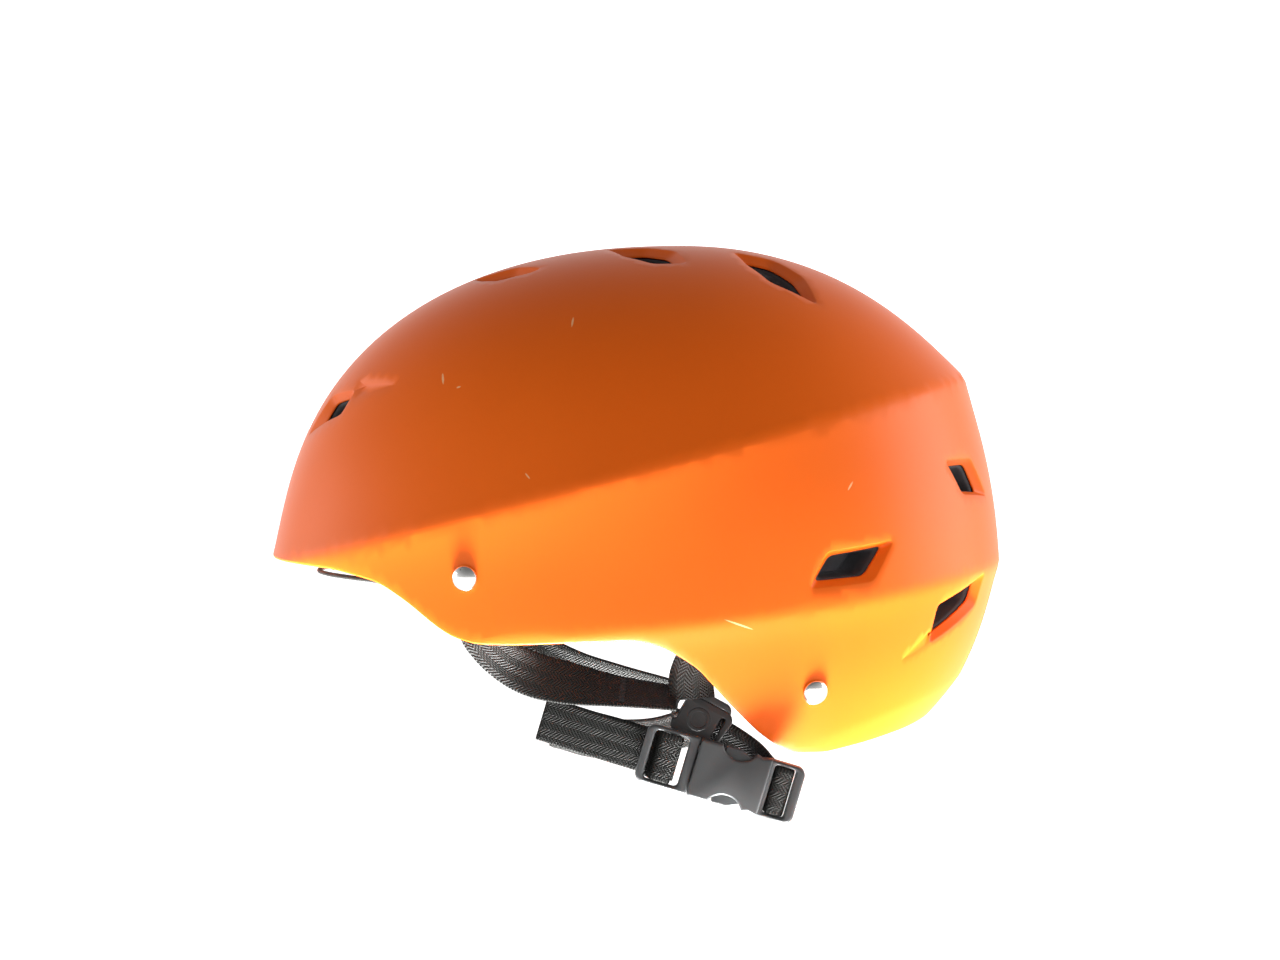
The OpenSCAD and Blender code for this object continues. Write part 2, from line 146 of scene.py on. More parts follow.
def polar_where(az, line):
    """Polar angles at which the surface crosses a side-view line, by bisection."""
    az = np.asarray(az, float)
    low, high = np.zeros_like(az), np.full_like(az, 150.0)
    for _ in range(30):
        middle = (low + high)/2
        p = surface(az, middle)
        above = p[..., 2] > line(p[..., 1])
        low, high = np.where(above, middle, low), np.where(above, high, middle)
    return (low + high)/2


# ---- small mesh tools

def mesh_object(name, points, faces, smooth=True):
    """New mesh object from points in millimetres."""
    mesh = bpy.data.meshes.new(name)
    mesh.from_pydata([tuple(float(c)*MM for c in p) for p in points], [], faces)
    mesh.validate()
    mesh.update()
    if smooth:
        mesh.polygons.foreach_set("use_smooth", [True]*len(mesh.polygons))
    piece = bpy.data.objects.new(name, mesh)
    scene.collection.objects.link(piece)
    return piece


def outward(piece, merge=True):
    """Makes the face normals of a closed mesh point outward."""
    bm = bmesh.new()
    bm.from_mesh(piece.data)
    if merge:
        bmesh.ops.remove_doubles(bm, verts=bm.verts, dist=1e-6)
    bmesh.ops.recalc_face_normals(bm, faces=bm.faces)
    bm.to_mesh(piece.data)
    bm.free()
    return piece


def ring_faces(rows, ring, start=0):
    """Quads between successive rings of points."""
    out = []
    for i in range(rows - 1):
        for k in range(ring):
            a, b = start + i*ring + k, start + i*ring + (k + 1) % ring
            out.append((a, b, b + ring, a + ring))
    return out


def keep_modifiers(piece):
    """Applies every modifier of a piece to its mesh."""
    graph = bpy.context.evaluated_depsgraph_get()
    mesh = bpy.data.meshes.new_from_object(piece.evaluated_get(graph))
    old = piece.data
    piece.modifiers.clear()
    piece.data = mesh
    bpy.data.meshes.remove(old)
    return piece


def select(pieces):
    bpy.ops.object.select_all(action="DESELECT")
    for piece in pieces:
        piece.select_set(True)
    bpy.context.view_layer.objects.active = pieces[0]


def joined(name, pieces):
    """Joins pieces into the first and renames it."""
    select(pieces)
    bpy.ops.object.join()
    pieces[0].name = name
    return pieces[0]


# ---- vents and grooves of the shell
# A vent: azimuth and polar angle of its middle, corners of the opening, corners of the recess
VENTS = {
    "crown_front": (-66, 34, [(-14, -4), (-5, 4), (6, 7), (7, 3), (1, -4), (-6, -6)],
                    [(-21, -5.5), (-7, 7.5), (9.5, 11), (10, 5), (3, -5.5), (-8, -7.5)]),
    "crown_middle": (-20, 16, [(-14, 5.5), (-5, 8.5), (6, 4.5), (13, -4), (5, -9), (-5, -4)],
                     [(-21, 10), (-5, 12.5), (9, 7.5), (18.5, -6.5), (6, -11.5), (-8, -5.5)]),
    "crown_back": (45, 26, [(0, 16.5), (6.5, 8), (5.5, -6), (0, -20.5), (-7.5, -7), (-5.5, 5.5)],
                   [(0, 24), (10.5, 11.5), (9.5, -7), (0, -26.5), (-9.5, -8), (-7.5, 8.5)]),
    "brow": (-75, 68, [(-8, -8.6), (-7.6, 2.5), (7.5, 6.2), (7.7, 0.2)],
             [(-16.5, -13), (-9.5, 5), (11.5, 9.2), (11.5, -2)]),
    "side": (34, 91, [(-13.5, -6), (-7.5, 3.5), (15, 6.7), (6.8, -4.2)],
             [(-17, -8.8), (-10, 5.4), (19, 9), (9.5, -6.2)]),
    "back_upper": (65.5, 76, [(-11.3, 4.6), (5.8, 4.4), (14, -6.6), (-3, -5.6)],
                   [(-13.8, 6.6), (8, 6.2), (20, -8.8), (-5, -7.4)]),
    "back_lower": (62.5, 99.4, [(-12.6, -11.2), (-12.8, 0), (12.9, 9.5), (12.3, 1.7)],
                   [(-15.4, -14.6), (-15.6, 1.6), (16.6, 13), (15.4, 0)])}
# A groove: azimuth, polar angle, tip, deep corner, flush corner, depth
GROOVES = {
    "brow": (-67, 64.6, (15.5, 6), (-5.5, 3.2), (-5, -4.4), 1.6),
    "back_lower": (53, 106.2, (-9, -6.4), (3.6, 5), (6, 1.2), 1.4)}
CORNER_STEPS, EDGE_STEPS = 4, 5
# Mesh spacing of the shell and the liner, in degrees of the flattened map; the map's reach; the
# row pitch of a hexagonal grid; share of the spacing kept clear beside outlines and creases
SHELL_SPACING, LINER_SPACING, MAP_REACH, HEX_ROW, CLEAR_SHARE = 1.6, 2.2, 130, 0.866, 0.55


def rounded(corners, radius):
    """Closed outline with rounded corners and evenly split edges, the same count for any shape."""
    out = []
    count = len(corners)
    pts = [Vector(c) for c in corners]
    ends = []
    for i in range(count):
        before, here, after = pts[i - 1], pts[i], pts[(i + 1) % count]
        cut_in = min(radius, (before - here).length*0.4)
        cut_out = min(radius, (after - here).length*0.4)
        ends.append((here + (before - here).normalized()*cut_in, here,
                     here + (after - here).normalized()*cut_out))
    for i in range(count):
        start, here, end = ends[i]
        for k in range(CORNER_STEPS + 1):
            t = k/CORNER_STEPS
            out.append(start*(1 - t)**2 + here*2*t*(1 - t) + end*t*t)
        follow = ends[(i + 1) % count][0]
        for k in range(1, EDGE_STEPS):
            out.append(end.lerp(follow, k/EDGE_STEPS))
    return out


def local_axes(az, polar):
    n = directions(np.array(az, float), np.array(polar, float))
    u = np.array([-math.sin(math.radians(az)), math.cos(math.radians(az)), 0.0])
    return n, u, np.cross(n, u)


def on_plane(az, polar, points, side):
    """Directions, as points of the flattened map, of points given beside one place."""
    n, u, v = local_axes(az, polar)
    reach = float(shell_radius(n))
    out = []
    for p in points:
        d = n*reach + u*p[0] + v*p[1]
        d = d/np.linalg.norm(d)
        angle = math.degrees(math.acos(d[2]))
        turn = math.atan2(d[1], d[0]*side)
        out.append((angle*math.cos(turn), angle*math.sin(turn)))
    return out


def inside(points, loop):
    """Which points of an array lie inside a closed outline."""
    x, y = points[:, 0], points[:, 1]
    hit = np.zeros(len(points), bool)
    a = np.asarray(loop)
    b = np.roll(a, -1, axis=0)
    for (x0, y0), (x1, y1) in zip(a, b):
        if y0 == y1:
            continue
        crosses = (y0 > y) != (y1 > y)
        hit ^= crosses & (x < (x1 - x0)*(y - y0)/(y1 - y0) + x0)
    return hit


def near_lines(points, lines, distance):
    """Which points of an array lie within a distance of any of the polylines."""
    close = np.zeros(len(points), bool)
    for line in lines:
        a = np.asarray(line, float)
        for p, q in zip(a[:-1], a[1:]):
            low, high = np.minimum(p, q) - distance, np.maximum(p, q) + distance
            pick = np.nonzero(~close & (points > low).all(axis=1) & (points < high).all(axis=1))[0]
            if len(pick) == 0:
                continue
            d = q - p
            length = max(float(d.dot(d)), 1e-12)
            t = np.clip(((points[pick] - p) @ d)/length, 0, 1)
            gap = np.linalg.norm(points[pick] - (p + t[:, None]*d), axis=1)
            close[pick[gap < distance]] = True
    return close


def hex_grid(spacing, reach):
    rows = int(reach/(spacing*HEX_ROW)) + 1
    columns = int(reach/spacing) + 1
    return np.array([((c + 0.5*(r % 2))*spacing, r*spacing*HEX_ROW)
                     for r in range(-rows, rows + 1) for c in range(-columns, columns + 1)])


def flat_mesh(rim, holes, creases, spacing):
    """Triangles of the flattened surface inside the rim and outside the holes.
    Returns points, faces, the rim's point numbers and each hole's point numbers."""
    closed = [list(loop) + [loop[0]] for loop in [rim] + holes]
    grid = hex_grid(spacing, MAP_REACH)
    grid = grid[inside(grid, rim)]
    for hole in holes:
        grid = grid[~inside(grid, hole)]
    grid = grid[~near_lines(grid, closed + creases, spacing*CLEAR_SHARE)]
    coords, edges, first = [], [], []
    for loop in [rim] + holes:
        start = len(coords)
        first.append((start, len(loop)))
        coords += [Vector(p) for p in loop]
        edges += [(start + i, start + (i + 1) % len(loop)) for i in range(len(loop))]
    for line in creases:
        start = len(coords)
        coords += [Vector(p) for p in line]
        edges += [(start + i, start + i + 1) for i in range(len(line) - 1)]
    coords += [Vector(p) for p in grid]
    points, _, faces, origin, _, _ = delaunay_2d_cdt(coords, edges, [], 0, 1e-5, True)
    flat = np.array([(p.x, p.y) for p in points])
    middle = np.array([flat[list(f)].mean(axis=0) for f in faces])
    good = inside(middle, rim)
    for hole in holes:
        good &= ~inside(middle, hole)
    number = {}
    for new, olds in enumerate(origin):
        for old in olds:
            number.setdefault(old, new)
    loops = [[number[start + i] for i in range(count)] for start, count in first]
    kept = [tuple(f) for f, g in zip(faces, good) if g]
    return flat, kept, loops[0], loops[1:]


def unflatten(flat):
    """Azimuth and polar angle, in degrees, of points of the flattened map."""
    return np.degrees(np.arctan2(flat[:, 1], flat[:, 0])), np.hypot(flat[:, 0], flat[:, 1])


def flatten(az, polar):
    a = np.radians(az)
    return list(zip(polar*np.cos(a), polar*np.sin(a)))


RIM_STEPS = 300
RIM_AZ = np.arange(RIM_STEPS)*360/RIM_STEPS
RIM_POLAR = polar_where(RIM_AZ, rim_line)
for _ in range(2):
    RIM_POLAR = (np.roll(RIM_POLAR, 1) + 2*RIM_POLAR + np.roll(RIM_POLAR, -1))/4


def rim_polar(az):
    return np.interp(az % 360, np.append(RIM_AZ, 360), np.append(RIM_POLAR, RIM_POLAR[0]))


def crease_lines(line):
    """The stretches of a crease that lie above the rim, as polylines of the flattened map."""
    polar = polar_where(RIM_AZ, line)
    keep = polar < RIM_POLAR - 1.2
    start = int(np.nonzero(~keep)[0][0]) if (~keep).any() else 0
    runs, run = [], []
    for k in range(RIM_STEPS + 1):
        i = (start + k) % RIM_STEPS
        if keep[i] and (k < RIM_STEPS or not (~keep).any()):
            run.append(flatten(RIM_AZ[i], polar[i:i + 1])[0])
        elif run:
            runs.append(run)
            run = []
    if run:
        runs.append(run)
    return [r for r in runs if len(r) > 3]


def groove_depth(flat):
    """Depth of the triangular grooves beside two of the vents, at points of the map."""
    az, polar = unflatten(flat)
    d = directions(az, polar)
    depth = np.zeros(len(flat))
    for g_az, g_polar, tip, deep, flush, most in GROOVES.values():
        n, u, v = local_axes(g_az, g_polar)
        for side in (1, -1):
            m = d*np.array([side, 1, 1])
            facing = m @ n
            reach = float(shell_radius(n))
            p = np.stack([m @ u, m @ v], axis=-1)/np.maximum(facing, 0.2)[:, None]*reach
            t, a, b = (np.array(q, float) for q in (tip, deep, flush))
            det = (a[0] - t[0])*(b[1] - t[1]) - (b[0] - t[0])*(a[1] - t[1])
            wa = ((p[:, 0] - t[0])*(b[1] - t[1]) - (b[0] - t[0])*(p[:, 1] - t[1]))/det
            wb = ((a[0] - t[0])*(p[:, 1] - t[1]) - (p[:, 0] - t[0])*(a[1] - t[1]))/det
            hit = (wa >= -1e-3) & (wb >= -1e-3) & (wa + wb <= 1.001) & (facing > 0.5)
            depth = np.where(hit, np.maximum(depth, most*wa), depth)
    return depth


def groove_lines():
    """Edges of the grooves, with a second line just outside the steep edge."""
    lines = []
    for az, polar, tip, deep, flush, _ in GROOVES.values():
        tip, deep, flush = Vector(tip), Vector(deep), Vector(flush)
        edge = deep - tip
        away = Vector((-edge.y, edge.x)).normalized()
        if away.dot(flush - tip) > 0:
            away = -away
        outer_tip, outer_deep = tip + away*0.1, deep + away*0.55
        for side in (1, -1):
            for a, b in ((tip, deep), (tip, flush), (deep, flush), (outer_tip, outer_deep)):
                lines.append(on_plane(az, polar, [a.lerp(b, k/8) for k in range(9)], side))
    return lines


def ring_points(flat_loop, inset):
    az, polar = unflatten(np.asarray(flat_loop))
    return surface(az, polar, np.asarray(inset, float))


def bowl(name, skins, rim_rings, hole_rings, creases, spacing, outer_depth=None):
    """One closed perforated bowl. skins gives the inset of the outer and inner surface,
    rim_rings the (inset, polar shift) of the rings round the rim, hole_rings the outlines and
    insets of each hole from the outer to the inner surface."""
    rim_out = flatten(RIM_AZ, RIM_POLAR + rim_rings[0][1])
    rim_in = flatten(RIM_AZ, RIM_POLAR + rim_rings[-1][1])
    outer_holes = [rings[0][0] for rings in hole_rings]
    inner_holes = [rings[-1][0] for rings in hole_rings]
    flat, faces, rim_ids, hole_ids = flat_mesh(rim_out, outer_holes, creases, spacing)
    az, polar = unflatten(flat)
    extra = outer_depth(flat) if outer_depth else 0.0
    points = list(surface(az, polar, skins[0] + extra))
    all_faces = [f[::-1] for f in faces]
    flat2, faces2, rim_ids2, hole_ids2 = flat_mesh(rim_in, inner_holes, [], spacing*1.5)
    shift = len(points)
    az2, polar2 = unflatten(flat2)
    points += list(surface(az2, polar2, skins[1]))
    all_faces += [tuple(i + shift for i in f) for f in faces2]

    def strip(ids_a, ids_b):
        count = len(ids_a)
        for i in range(count):
            j = (i + 1) % count
            all_faces.append((ids_a[i], ids_a[j], ids_b[j], ids_b[i]))

    def rings(first, last, between):
        ids = first
        for ring in between:
            new = list(range(len(points), len(points) + len(ring)))
            points.extend(ring)
            strip(ids, new)
            ids = new
        strip(ids, last)

    rings(rim_ids, [i + shift for i in rim_ids2],
          [surface(RIM_AZ, RIM_POLAR + turn, inset) for inset, turn in rim_rings[1:-1]])
    for ids, ids2, outline in zip(hole_ids, hole_ids2, hole_rings):
        rings(ids, [i + shift for i in ids2],
              [ring_points(loop, inset) for loop, inset in outline[1:-1]])
    piece = mesh_object(name, points, all_faces)
    bm = bmesh.new()
    bm.from_mesh(piece.data)
    loose = [v for v in bm.verts if not v.link_faces]
    bmesh.ops.delete(bm, geom=loose, context="VERTS")
    bm.to_mesh(piece.data)
    bm.free()
    return outward(piece)


def blend_loops(a, b, t):
    return [(p[0] + (q[0] - p[0])*t, p[1] + (q[1] - p[1])*t) for p, q in zip(a, b)]


def both_sides(az, polar, outer, inner):
    """An outer and an inner outline on the flattened map, for the left and the right vent."""
    left = [on_plane(az, polar, loop, 1) for loop in (outer, inner)]
    return [left, [on_plane(az, polar, loop, -1)[::-1] for loop in (outer, inner)]]


SHELL_IN = WALL + 0.2


def shell_holes():
    """Rings of each vent through the shell: recess edge, bevelled wall, opening, inner edge."""
    holes = []
    for az, polar, opening, recess in VENTS.values():
        for a, b in both_sides(az, polar, rounded(recess, 2.6), rounded(opening, 2.2)):
            holes.append([(a, 0.0), (blend_loops(a, b, 0.08), 0.12), (blend_loops(a, b, 0.2), 0.5),
                          (blend_loops(a, b, 0.82), 2.3), (blend_loops(a, b, 0.96), 2.6),
                          (b, 2.9), (b, SHELL_IN)])
    return holes


shell = bowl("orange_shell", (0.0, SHELL_IN),
             [(0.0, 0.0), (0.12, 0.2), (0.6, 0.42), (1.4, 0.5), (2.4, 0.42), (3.0, 0.2),
              (SHELL_IN, 0.0)], shell_holes(),
             crease_lines(upper_line) + crease_lines(lower_line) + groove_lines(), SHELL_SPACING,
             groove_depth)
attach(shell, "helmet")
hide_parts("outer_shell")


# ---- foam liner
LINER_LIFT = 2.5
LINER_OUT, LINER_IN = WALL + GAP + 0.2, WALL + GAP + LINER


def rim_channel(az):
    return CHANNEL*ramp(abs(np.cos(np.radians(az))), 0.5, 0.66)


def channel_depth(flat):
    """Depth of the strap channel in the liner's outer face."""
    az, polar = unflatten(flat)
    return rim_channel(az)*(1 - ramp(rim_polar(az) - LINER_LIFT - polar, 17, 20))


def liner_holes():
    holes = []
    for az, polar, opening, _ in VENTS.values():
        loop = rounded(opening, 3)
        middle = sum(loop, Vector((0, 0)))/len(loop)
        wide = [middle + (p - middle)*0.93 for p in loop]
        tight = [middle + (p - middle)*0.74 for p in loop]
        for a, b in both_sides(az, polar, wide, tight):
            holes.append([(a, LINER_OUT), (blend_loops(a, b, 0.25), LINER_OUT + 1.2),
                          (blend_loops(a, b, 0.8), LINER_IN - 2.5),
                          (blend_loops(a, b, 0.9), LINER_IN - 0.8), (b, LINER_IN)])
    return holes


step = rim_channel(RIM_AZ)
liner = bowl("foam_liner_skin", (LINER_OUT, LINER_IN),
             [(LINER_OUT + step, -LINER_LIFT), (LINER_OUT + 0.4 + step, -LINER_LIFT + 0.45),
              (LINER_OUT + 1.6 + step, -LINER_LIFT + 0.8), (LINER_IN - 2.4, -LINER_LIFT + 0.8),
              (LINER_IN - 0.7, -LINER_LIFT + 0.3), (LINER_IN, -LINER_LIFT)],
             liner_holes(), [], LINER_SPACING, channel_depth)
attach(liner, "helmet")
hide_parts("foam_liner")


# ---- pads
PAD_BASE = LINER_IN + 0.5
VOXEL = 4.0
SWELL_CAP = 1.6
CLOTH_FRAMES = 20


def pad_patch(name, place, across, along, thick):
    """Closed pillow: place(i, k, inset) gives the surface under a fraction of its two spans."""
    row = along + 1
    count = (across + 1)*row
    near, far = [], []
    for i in range(across + 1):
        for k in range(along + 1):
            u, v = 2*i/across - 1, 2*k/along - 1
            crown = math.sqrt(max(0.0, 1 - abs(u)**5))*math.sqrt(max(0.0, 1 - abs(v)**4))
            near.append(place(i/across, k/along, PAD_BASE + 0.9*(1 - crown)))
            far.append(place(i/across, k/along, PAD_BASE + 1.6 + (thick - 2.2)*crown))
    cells = [(i*row + k, (i + 1)*row + k, (i + 1)*row + k + 1, i*row + k + 1)
             for i in range(across) for k in range(along)]
    border = ([k for k in range(along)] + [i*row + along for i in range(across)]
              + [across*row + along - k for k in range(along)]
              + [(across - i)*row for i in range(across)])
    faces = cells + [tuple(n + count for n in reversed(c)) for c in cells]
    for j, a in enumerate(border):
        b = border[(j + 1) % len(border)]
        faces.append((a, b, b + count, a + count))
    return outward(mesh_object(name, near + far, faces))


def simulate(piece):
    """Puffs a pad up as sewn fabric over foam, with the swelling capped."""
    remesh = piece.modifiers.new("even", "REMESH")
    remesh.mode = "VOXEL"
    remesh.voxel_size = VOXEL*MM
    remesh.use_smooth_shade = True
    keep_modifiers(piece)
    start = np.array([v.co for v in piece.data.vertices])
    cloth = piece.modifiers.new("cloth", "CLOTH")
    cloth.settings.quality = 4
    cloth.settings.use_pressure = True
    cloth.settings.uniform_pressure_force = 4
    cloth.settings.effector_weights.gravity = 0
    cloth.point_cache.frame_start = 1
    cloth.point_cache.frame_end = CLOTH_FRAMES
    for number in range(1, CLOTH_FRAMES + 1):
        scene.frame_set(number)
    keep_modifiers(piece)
    scene.frame_set(1)
    moved = np.array([v.co for v in piece.data.vertices]) - start
    length = np.maximum(np.linalg.norm(moved, axis=1, keepdims=True), 1e-9)
    capped = start + moved*np.minimum(1, SWELL_CAP*MM/length)
    piece.data.vertices.foreach_set("co", capped.ravel())
    smooth = piece.modifiers.new("smooth", "SMOOTH")
    smooth.iterations = 3
    finer = piece.modifiers.new("finer", "SUBSURF")
    finer.levels = finer.render_levels = 1
    keep_modifiers(piece)
    piece.data.polygons.foreach_set("use_smooth", [True]*len(piece.data.polygons))


def rim_place(az_from, az_to, top_rise, bottom_rise):
    """Surface over a span of azimuth, between two heights measured up from the rim."""
    def place(i, k, inset):
        az = az_from + (az_to - az_from)*i
        return surface(az, rim_polar(az) - top_rise + (top_rise - bottom_rise)*k, inset)
    return place


def crown_place(i, k, inset):
    """Surface under a round patch of the crown."""
    u, v = 2*i - 1, 2*k - 1
    x = u*math.sqrt(1 - v*v/2)
    y = v*math.sqrt(1 - u*u/2)
    reach = 19.5
    return surface(math.degrees(math.atan2(y - 0.03, x)), reach*math.hypot(x, y - 0.03), inset)


def piping_along(name, line, radius=0.9, sides=8):
    """Closed tube through points."""
    points, faces = [], []
    count = len(line)
    pts = [Vector(p) for p in line]
    for i in range(count):
        t = (pts[(i + 1) % count] - pts[i - 1]).normalized()
        n = (pts[i] - Vector(CENTRE)).normalized()
        w = t.cross(n).normalized()
        n = w.cross(t)
        for k in range(sides):
            a = 2*math.pi*k/sides
            points.append(pts[i] + w*math.cos(a)*radius + n*math.sin(a)*radius)
    for i in range(count):
        for k in range(sides):
            a, b = i*sides + k, i*sides + (k + 1) % sides
            c, d = ((i + 1) % count)*sides + (k + 1) % sides, ((i + 1) % count)*sides + k
            faces.append((a, b, c, d))
    return outward(mesh_object(name, points, faces))


def add_pad(node, place, across, along):
    pad = pad_patch(node + "_cover", place, across, along, PAD)
    simulate(pad)
    border = ([(0, k/12) for k in range(12)] + [(i/30, 1) for i in range(30)]
              + [(1, 1 - k/12) for k in range(12)] + [(1 - i/30, 0) for i in range(30)])
    seam = [place(i*0.97 + 0.015, k*0.94 + 0.03, PAD_BASE + 1.5) for i, k in border]
    piping = piping_along(node + "_piping", seam)
    for piece in (pad, piping):
        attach(piece, "helmet")
    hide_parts(node)
    return pad, piping


pads = [add_pad("brow_pad", rim_place(-148, -32, 22, -3.6), 56, 10),
        add_pad("nape_pad", rim_place(48, 132, 30, -0.8), 40, 14),
        add_pad("side_pad_left", rim_place(-20, 22, 34, 14), 20, 12),
        add_pad("side_pad_right", rim_place(158, 200, 34, 14), 20, 12),
        add_pad("crown_pad", crown_place, 20, 20)]


# ---- webbing
WEB_W, WEB_T = 16.5, 1.4
TILT = math.radians(16.5)
SEAM = np.array([93.0, 20.8, -72.7])
BUCKLE_X = np.array([0.0, -math.cos(TILT), math.sin(TILT)])
BUCKLE_Y = np.array([0.0, math.sin(TILT), math.cos(TILT)])
BUCKLE_Z = np.array([1.0, 0.0, 0.0])


def in_buckle(s, t, n):
    """Point from distances along the buckle's axis, across it and outward, mm."""
    return SEAM + BUCKLE_X*s + BUCKLE_Y*t + BUCKLE_Z*n


def smooth_path(stations, steps):
    p = [np.array(s, float) for s in stations]
    out = []
    for i in range(len(p) - 1):
        a, b, c, d = p[max(i - 1, 0)], p[i], p[i + 1], p[min(i + 2, len(p) - 1)]
        for k in range(steps):
            t = k/steps
            out.append(0.5*(2*b + (c - a)*t + (2*a - 5*b + 4*c - d)*t*t + (3*b - a - 3*c + d)*t**3))
    return np.array(out + [p[-1]])


def side_x(y, z, inset):
    low, high = 20.0, 135.0
    for _ in range(26):
        middle = (low + high)/2
        q = np.array([middle, y, z]) - CENTRE
        far = np.linalg.norm(q)
        if far < shell_radius(q/far) - inset:
            low = middle
        else:
            high = middle
    return (low + high)/2


def side_normal(y, z, inset=0.0):
    n = np.array([4, side_x(y - 2, z, inset) - side_x(y + 2, z, inset),
                  side_x(y, z - 2, inset) - side_x(y, z + 2, inset)])
    return n/np.linalg.norm(n)


def tangents(points):
    t = np.empty_like(points)
    t[1:-1] = points[2:] - points[:-2]
    t[0], t[-1] = points[1] - points[0], points[-1] - points[-2]
    return t/np.linalg.norm(t, axis=1, keepdims=True)


# Section of the webbing: across and outward shares, thin rolled edges
SECTION = [(-1.0, 0.0), (-0.985, 0.62), (-0.93, 0.95), (-0.8, 1.0), (-0.4, 1.0), (0.0, 1.0),
           (0.4, 1.0), (0.8, 1.0), (0.93, 0.95), (0.985, 0.62), (1.0, 0.0), (0.985, -0.62),
           (0.93, -0.95), (0.8, -1.0), (0.4, -1.0), (0.0, -1.0), (-0.4, -1.0), (-0.8, -1.0),
           (-0.93, -0.95), (-0.985, -0.62)]


def webbing(name, points, normals, width=WEB_W, flip=1):
    """Flat webbing along points, with the weave's own coordinates stored on it."""
    t = tangents(points)
    across = np.cross(t, normals)
    across /= np.linalg.norm(across, axis=1, keepdims=True)
    out = np.cross(across, t)
    run = np.concatenate([[0], np.cumsum(np.linalg.norm(np.diff(points, axis=0), axis=1))])
    ring = len(SECTION)
    verts, weave = [], []
    for i in range(len(points)):
        for a, o in SECTION:
            place = points[i] + across[i]*a*width/2 + out[i]*o*WEB_T/2
            verts.append((place[0]*flip, place[1], place[2]))
            weave.append((a*width/2*MM, run[i]*MM, 0.0))
    faces = ring_faces(len(points), ring)
    faces += [tuple(range(ring)), tuple(range(len(verts) - ring, len(verts)))]
    piece = mesh_object(name, verts, faces)
    attribute = piece.data.attributes.new("weave", "FLOAT_VECTOR", "POINT")
    attribute.data.foreach_set("vector", np.array(weave).ravel())
    return outward(piece, merge=False)


def side_strap(name, stations, flip=1):
    line = smooth_path(stations, 9)
    points = np.array([(side_x(y, z, inset), y, z) for y, z, inset, _ in line])
    t = tangents(points)
    normals = []
    for i, (y, z, inset, twist) in enumerate(line):
        n = side_normal(y, z, inset)
        w = np.cross(t[i], n)
        a = math.radians(twist)
        normals.append(n*math.cos(a) + w*math.sin(a))
    return webbing(name, points, np.array(normals), flip=flip)


def chin_band(name, route, width=WEB_W):
    points = smooth_path(route, 9)
    normals = np.cross(BUCKLE_Y, tangents(points))
    return webbing(name, points, normals, width)


def buckle_band(name, route, width):
    """Webbing given by distances along the buckle's axis and outward from its middle."""
    line = smooth_path(route, 6)
    points = np.array([in_buckle(s, 0, n) for s, n in line])
    normals = np.cross(BUCKLE_Y, tangents(points))
    return webbing(name, points, normals, width)


front_left = [(-68, 7.5, 5.6, 0), (-63, -4.5, 5.6, 0), (-59.5, -18, 5.6, 0), (-55.5, -27.5, 5.5, 0),
              (-48, -34.5, 5, -4), (-38, -39.3, 4.5, -24), (-27.7, -41.8, 5, -37),
              (-12.4, -44.5, 5.5, -63), (2.6, -46.4, 6, -74), (14, -47.8, 6.5, -78)]
front_right = [(-68, 7.5, 5.6, 0), (-63, -4.5, 5.6, 0), (-59, -19, 5.6, 0), (-53, -31, 5.4, 0),
               (-42, -43, 5, -18), (-26, -51, 5.5, -34), (-8, -56, 6, -48), (9, -60, 7, -56),
               (16.5, -62, 7.4, -58)]
rear_left = [(74, -50, 5.6, 0), (64, -45.3, 5.6, 0), (50, -36, 5.8, 0), (37, -29, 6, 0),
             (25.5, -30, 6, 0), (20, -39, 6.5, 0), (20.2, -48, 7, 0)]
rear_right = [(74, -50, 5.6, 0), (64, -45.3, 5.6, 0), (50, -39.5, 5.8, 0), (38, -37.5, 6, 0),
              (28.5, -43, 6.5, 0), (25.5, -52, 7.5, 0), (26, -58, 8, 0)]
chin_left = [(83.9, 26, -63), (83.9, 33, -67), (84.3, 40, -72), (86, 44.5, -76.8),
             (87.5, 47.4, -79.6)]
chin_left += [tuple(in_buckle(s, 0, n)) for s, n in (
    (-29.0, -3.8), (-29.4, -1.5), (-29.6, 1.0), (-30.6, 2.2), (-32.5, 2.5), (-34.4, 2.2),
    (-35.3, 1.0), (-35.5, -1.5), (-35.3, -3.4), (-33.5, -4.3), (-28.5, -6.2))]
chin_right = [(85.2, 13, -70.4), (85, 4, -67.6), (84, -8, -64), (79, -21, -61),
              (66, -29, -60), (48, -30, -62), (28, -26, -65), (6, -18, -69.5),
              (-18, -8, -73), (-42, 4, -74.5), (-62, 15, -73.5), (-76, 24, -73)]
wrap_route = [(20, -3.9), (17, -3.9), (15.6, -3.4), (14.4, 0.6), (13.2, 2.2), (10.5, 2.35),
              (8.4, 2.1), (7.7, 0.6), (7.8, -4.3)]
tail_route = [(6, -5.8), (16, -5.8), (26, -6), (36, -7.2), (47, -9.4), (58.5, -12)]

webs = {"front_strap_left": side_strap("front_web_left", front_left),
        "front_strap_right": side_strap("front_web_right", front_right, -1),
        "rear_strap_left": side_strap("rear_web_left", rear_left),
        "rear_strap_right": side_strap("rear_web_right", rear_right, -1),
        "chin_strap_left": chin_band("chin_web_left", chin_left, WEB_W + 1.2),
        "chin_strap_right": chin_band("chin_web_right", chin_right),
        "lock_wrap": buckle_band("lock_web", wrap_route, WEB_W + 1.7),
        "strap_tail": buckle_band("tail_web", tail_route, WEB_W)}
web_bodies = {"lock_wrap": "buckle_plug", "strap_tail": "tail"}
for node, piece in webs.items():
    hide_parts(node)
    if node == "chin_strap_right":
        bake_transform(piece)
    else:
        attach(piece, web_bodies.get(node, "helmet"))

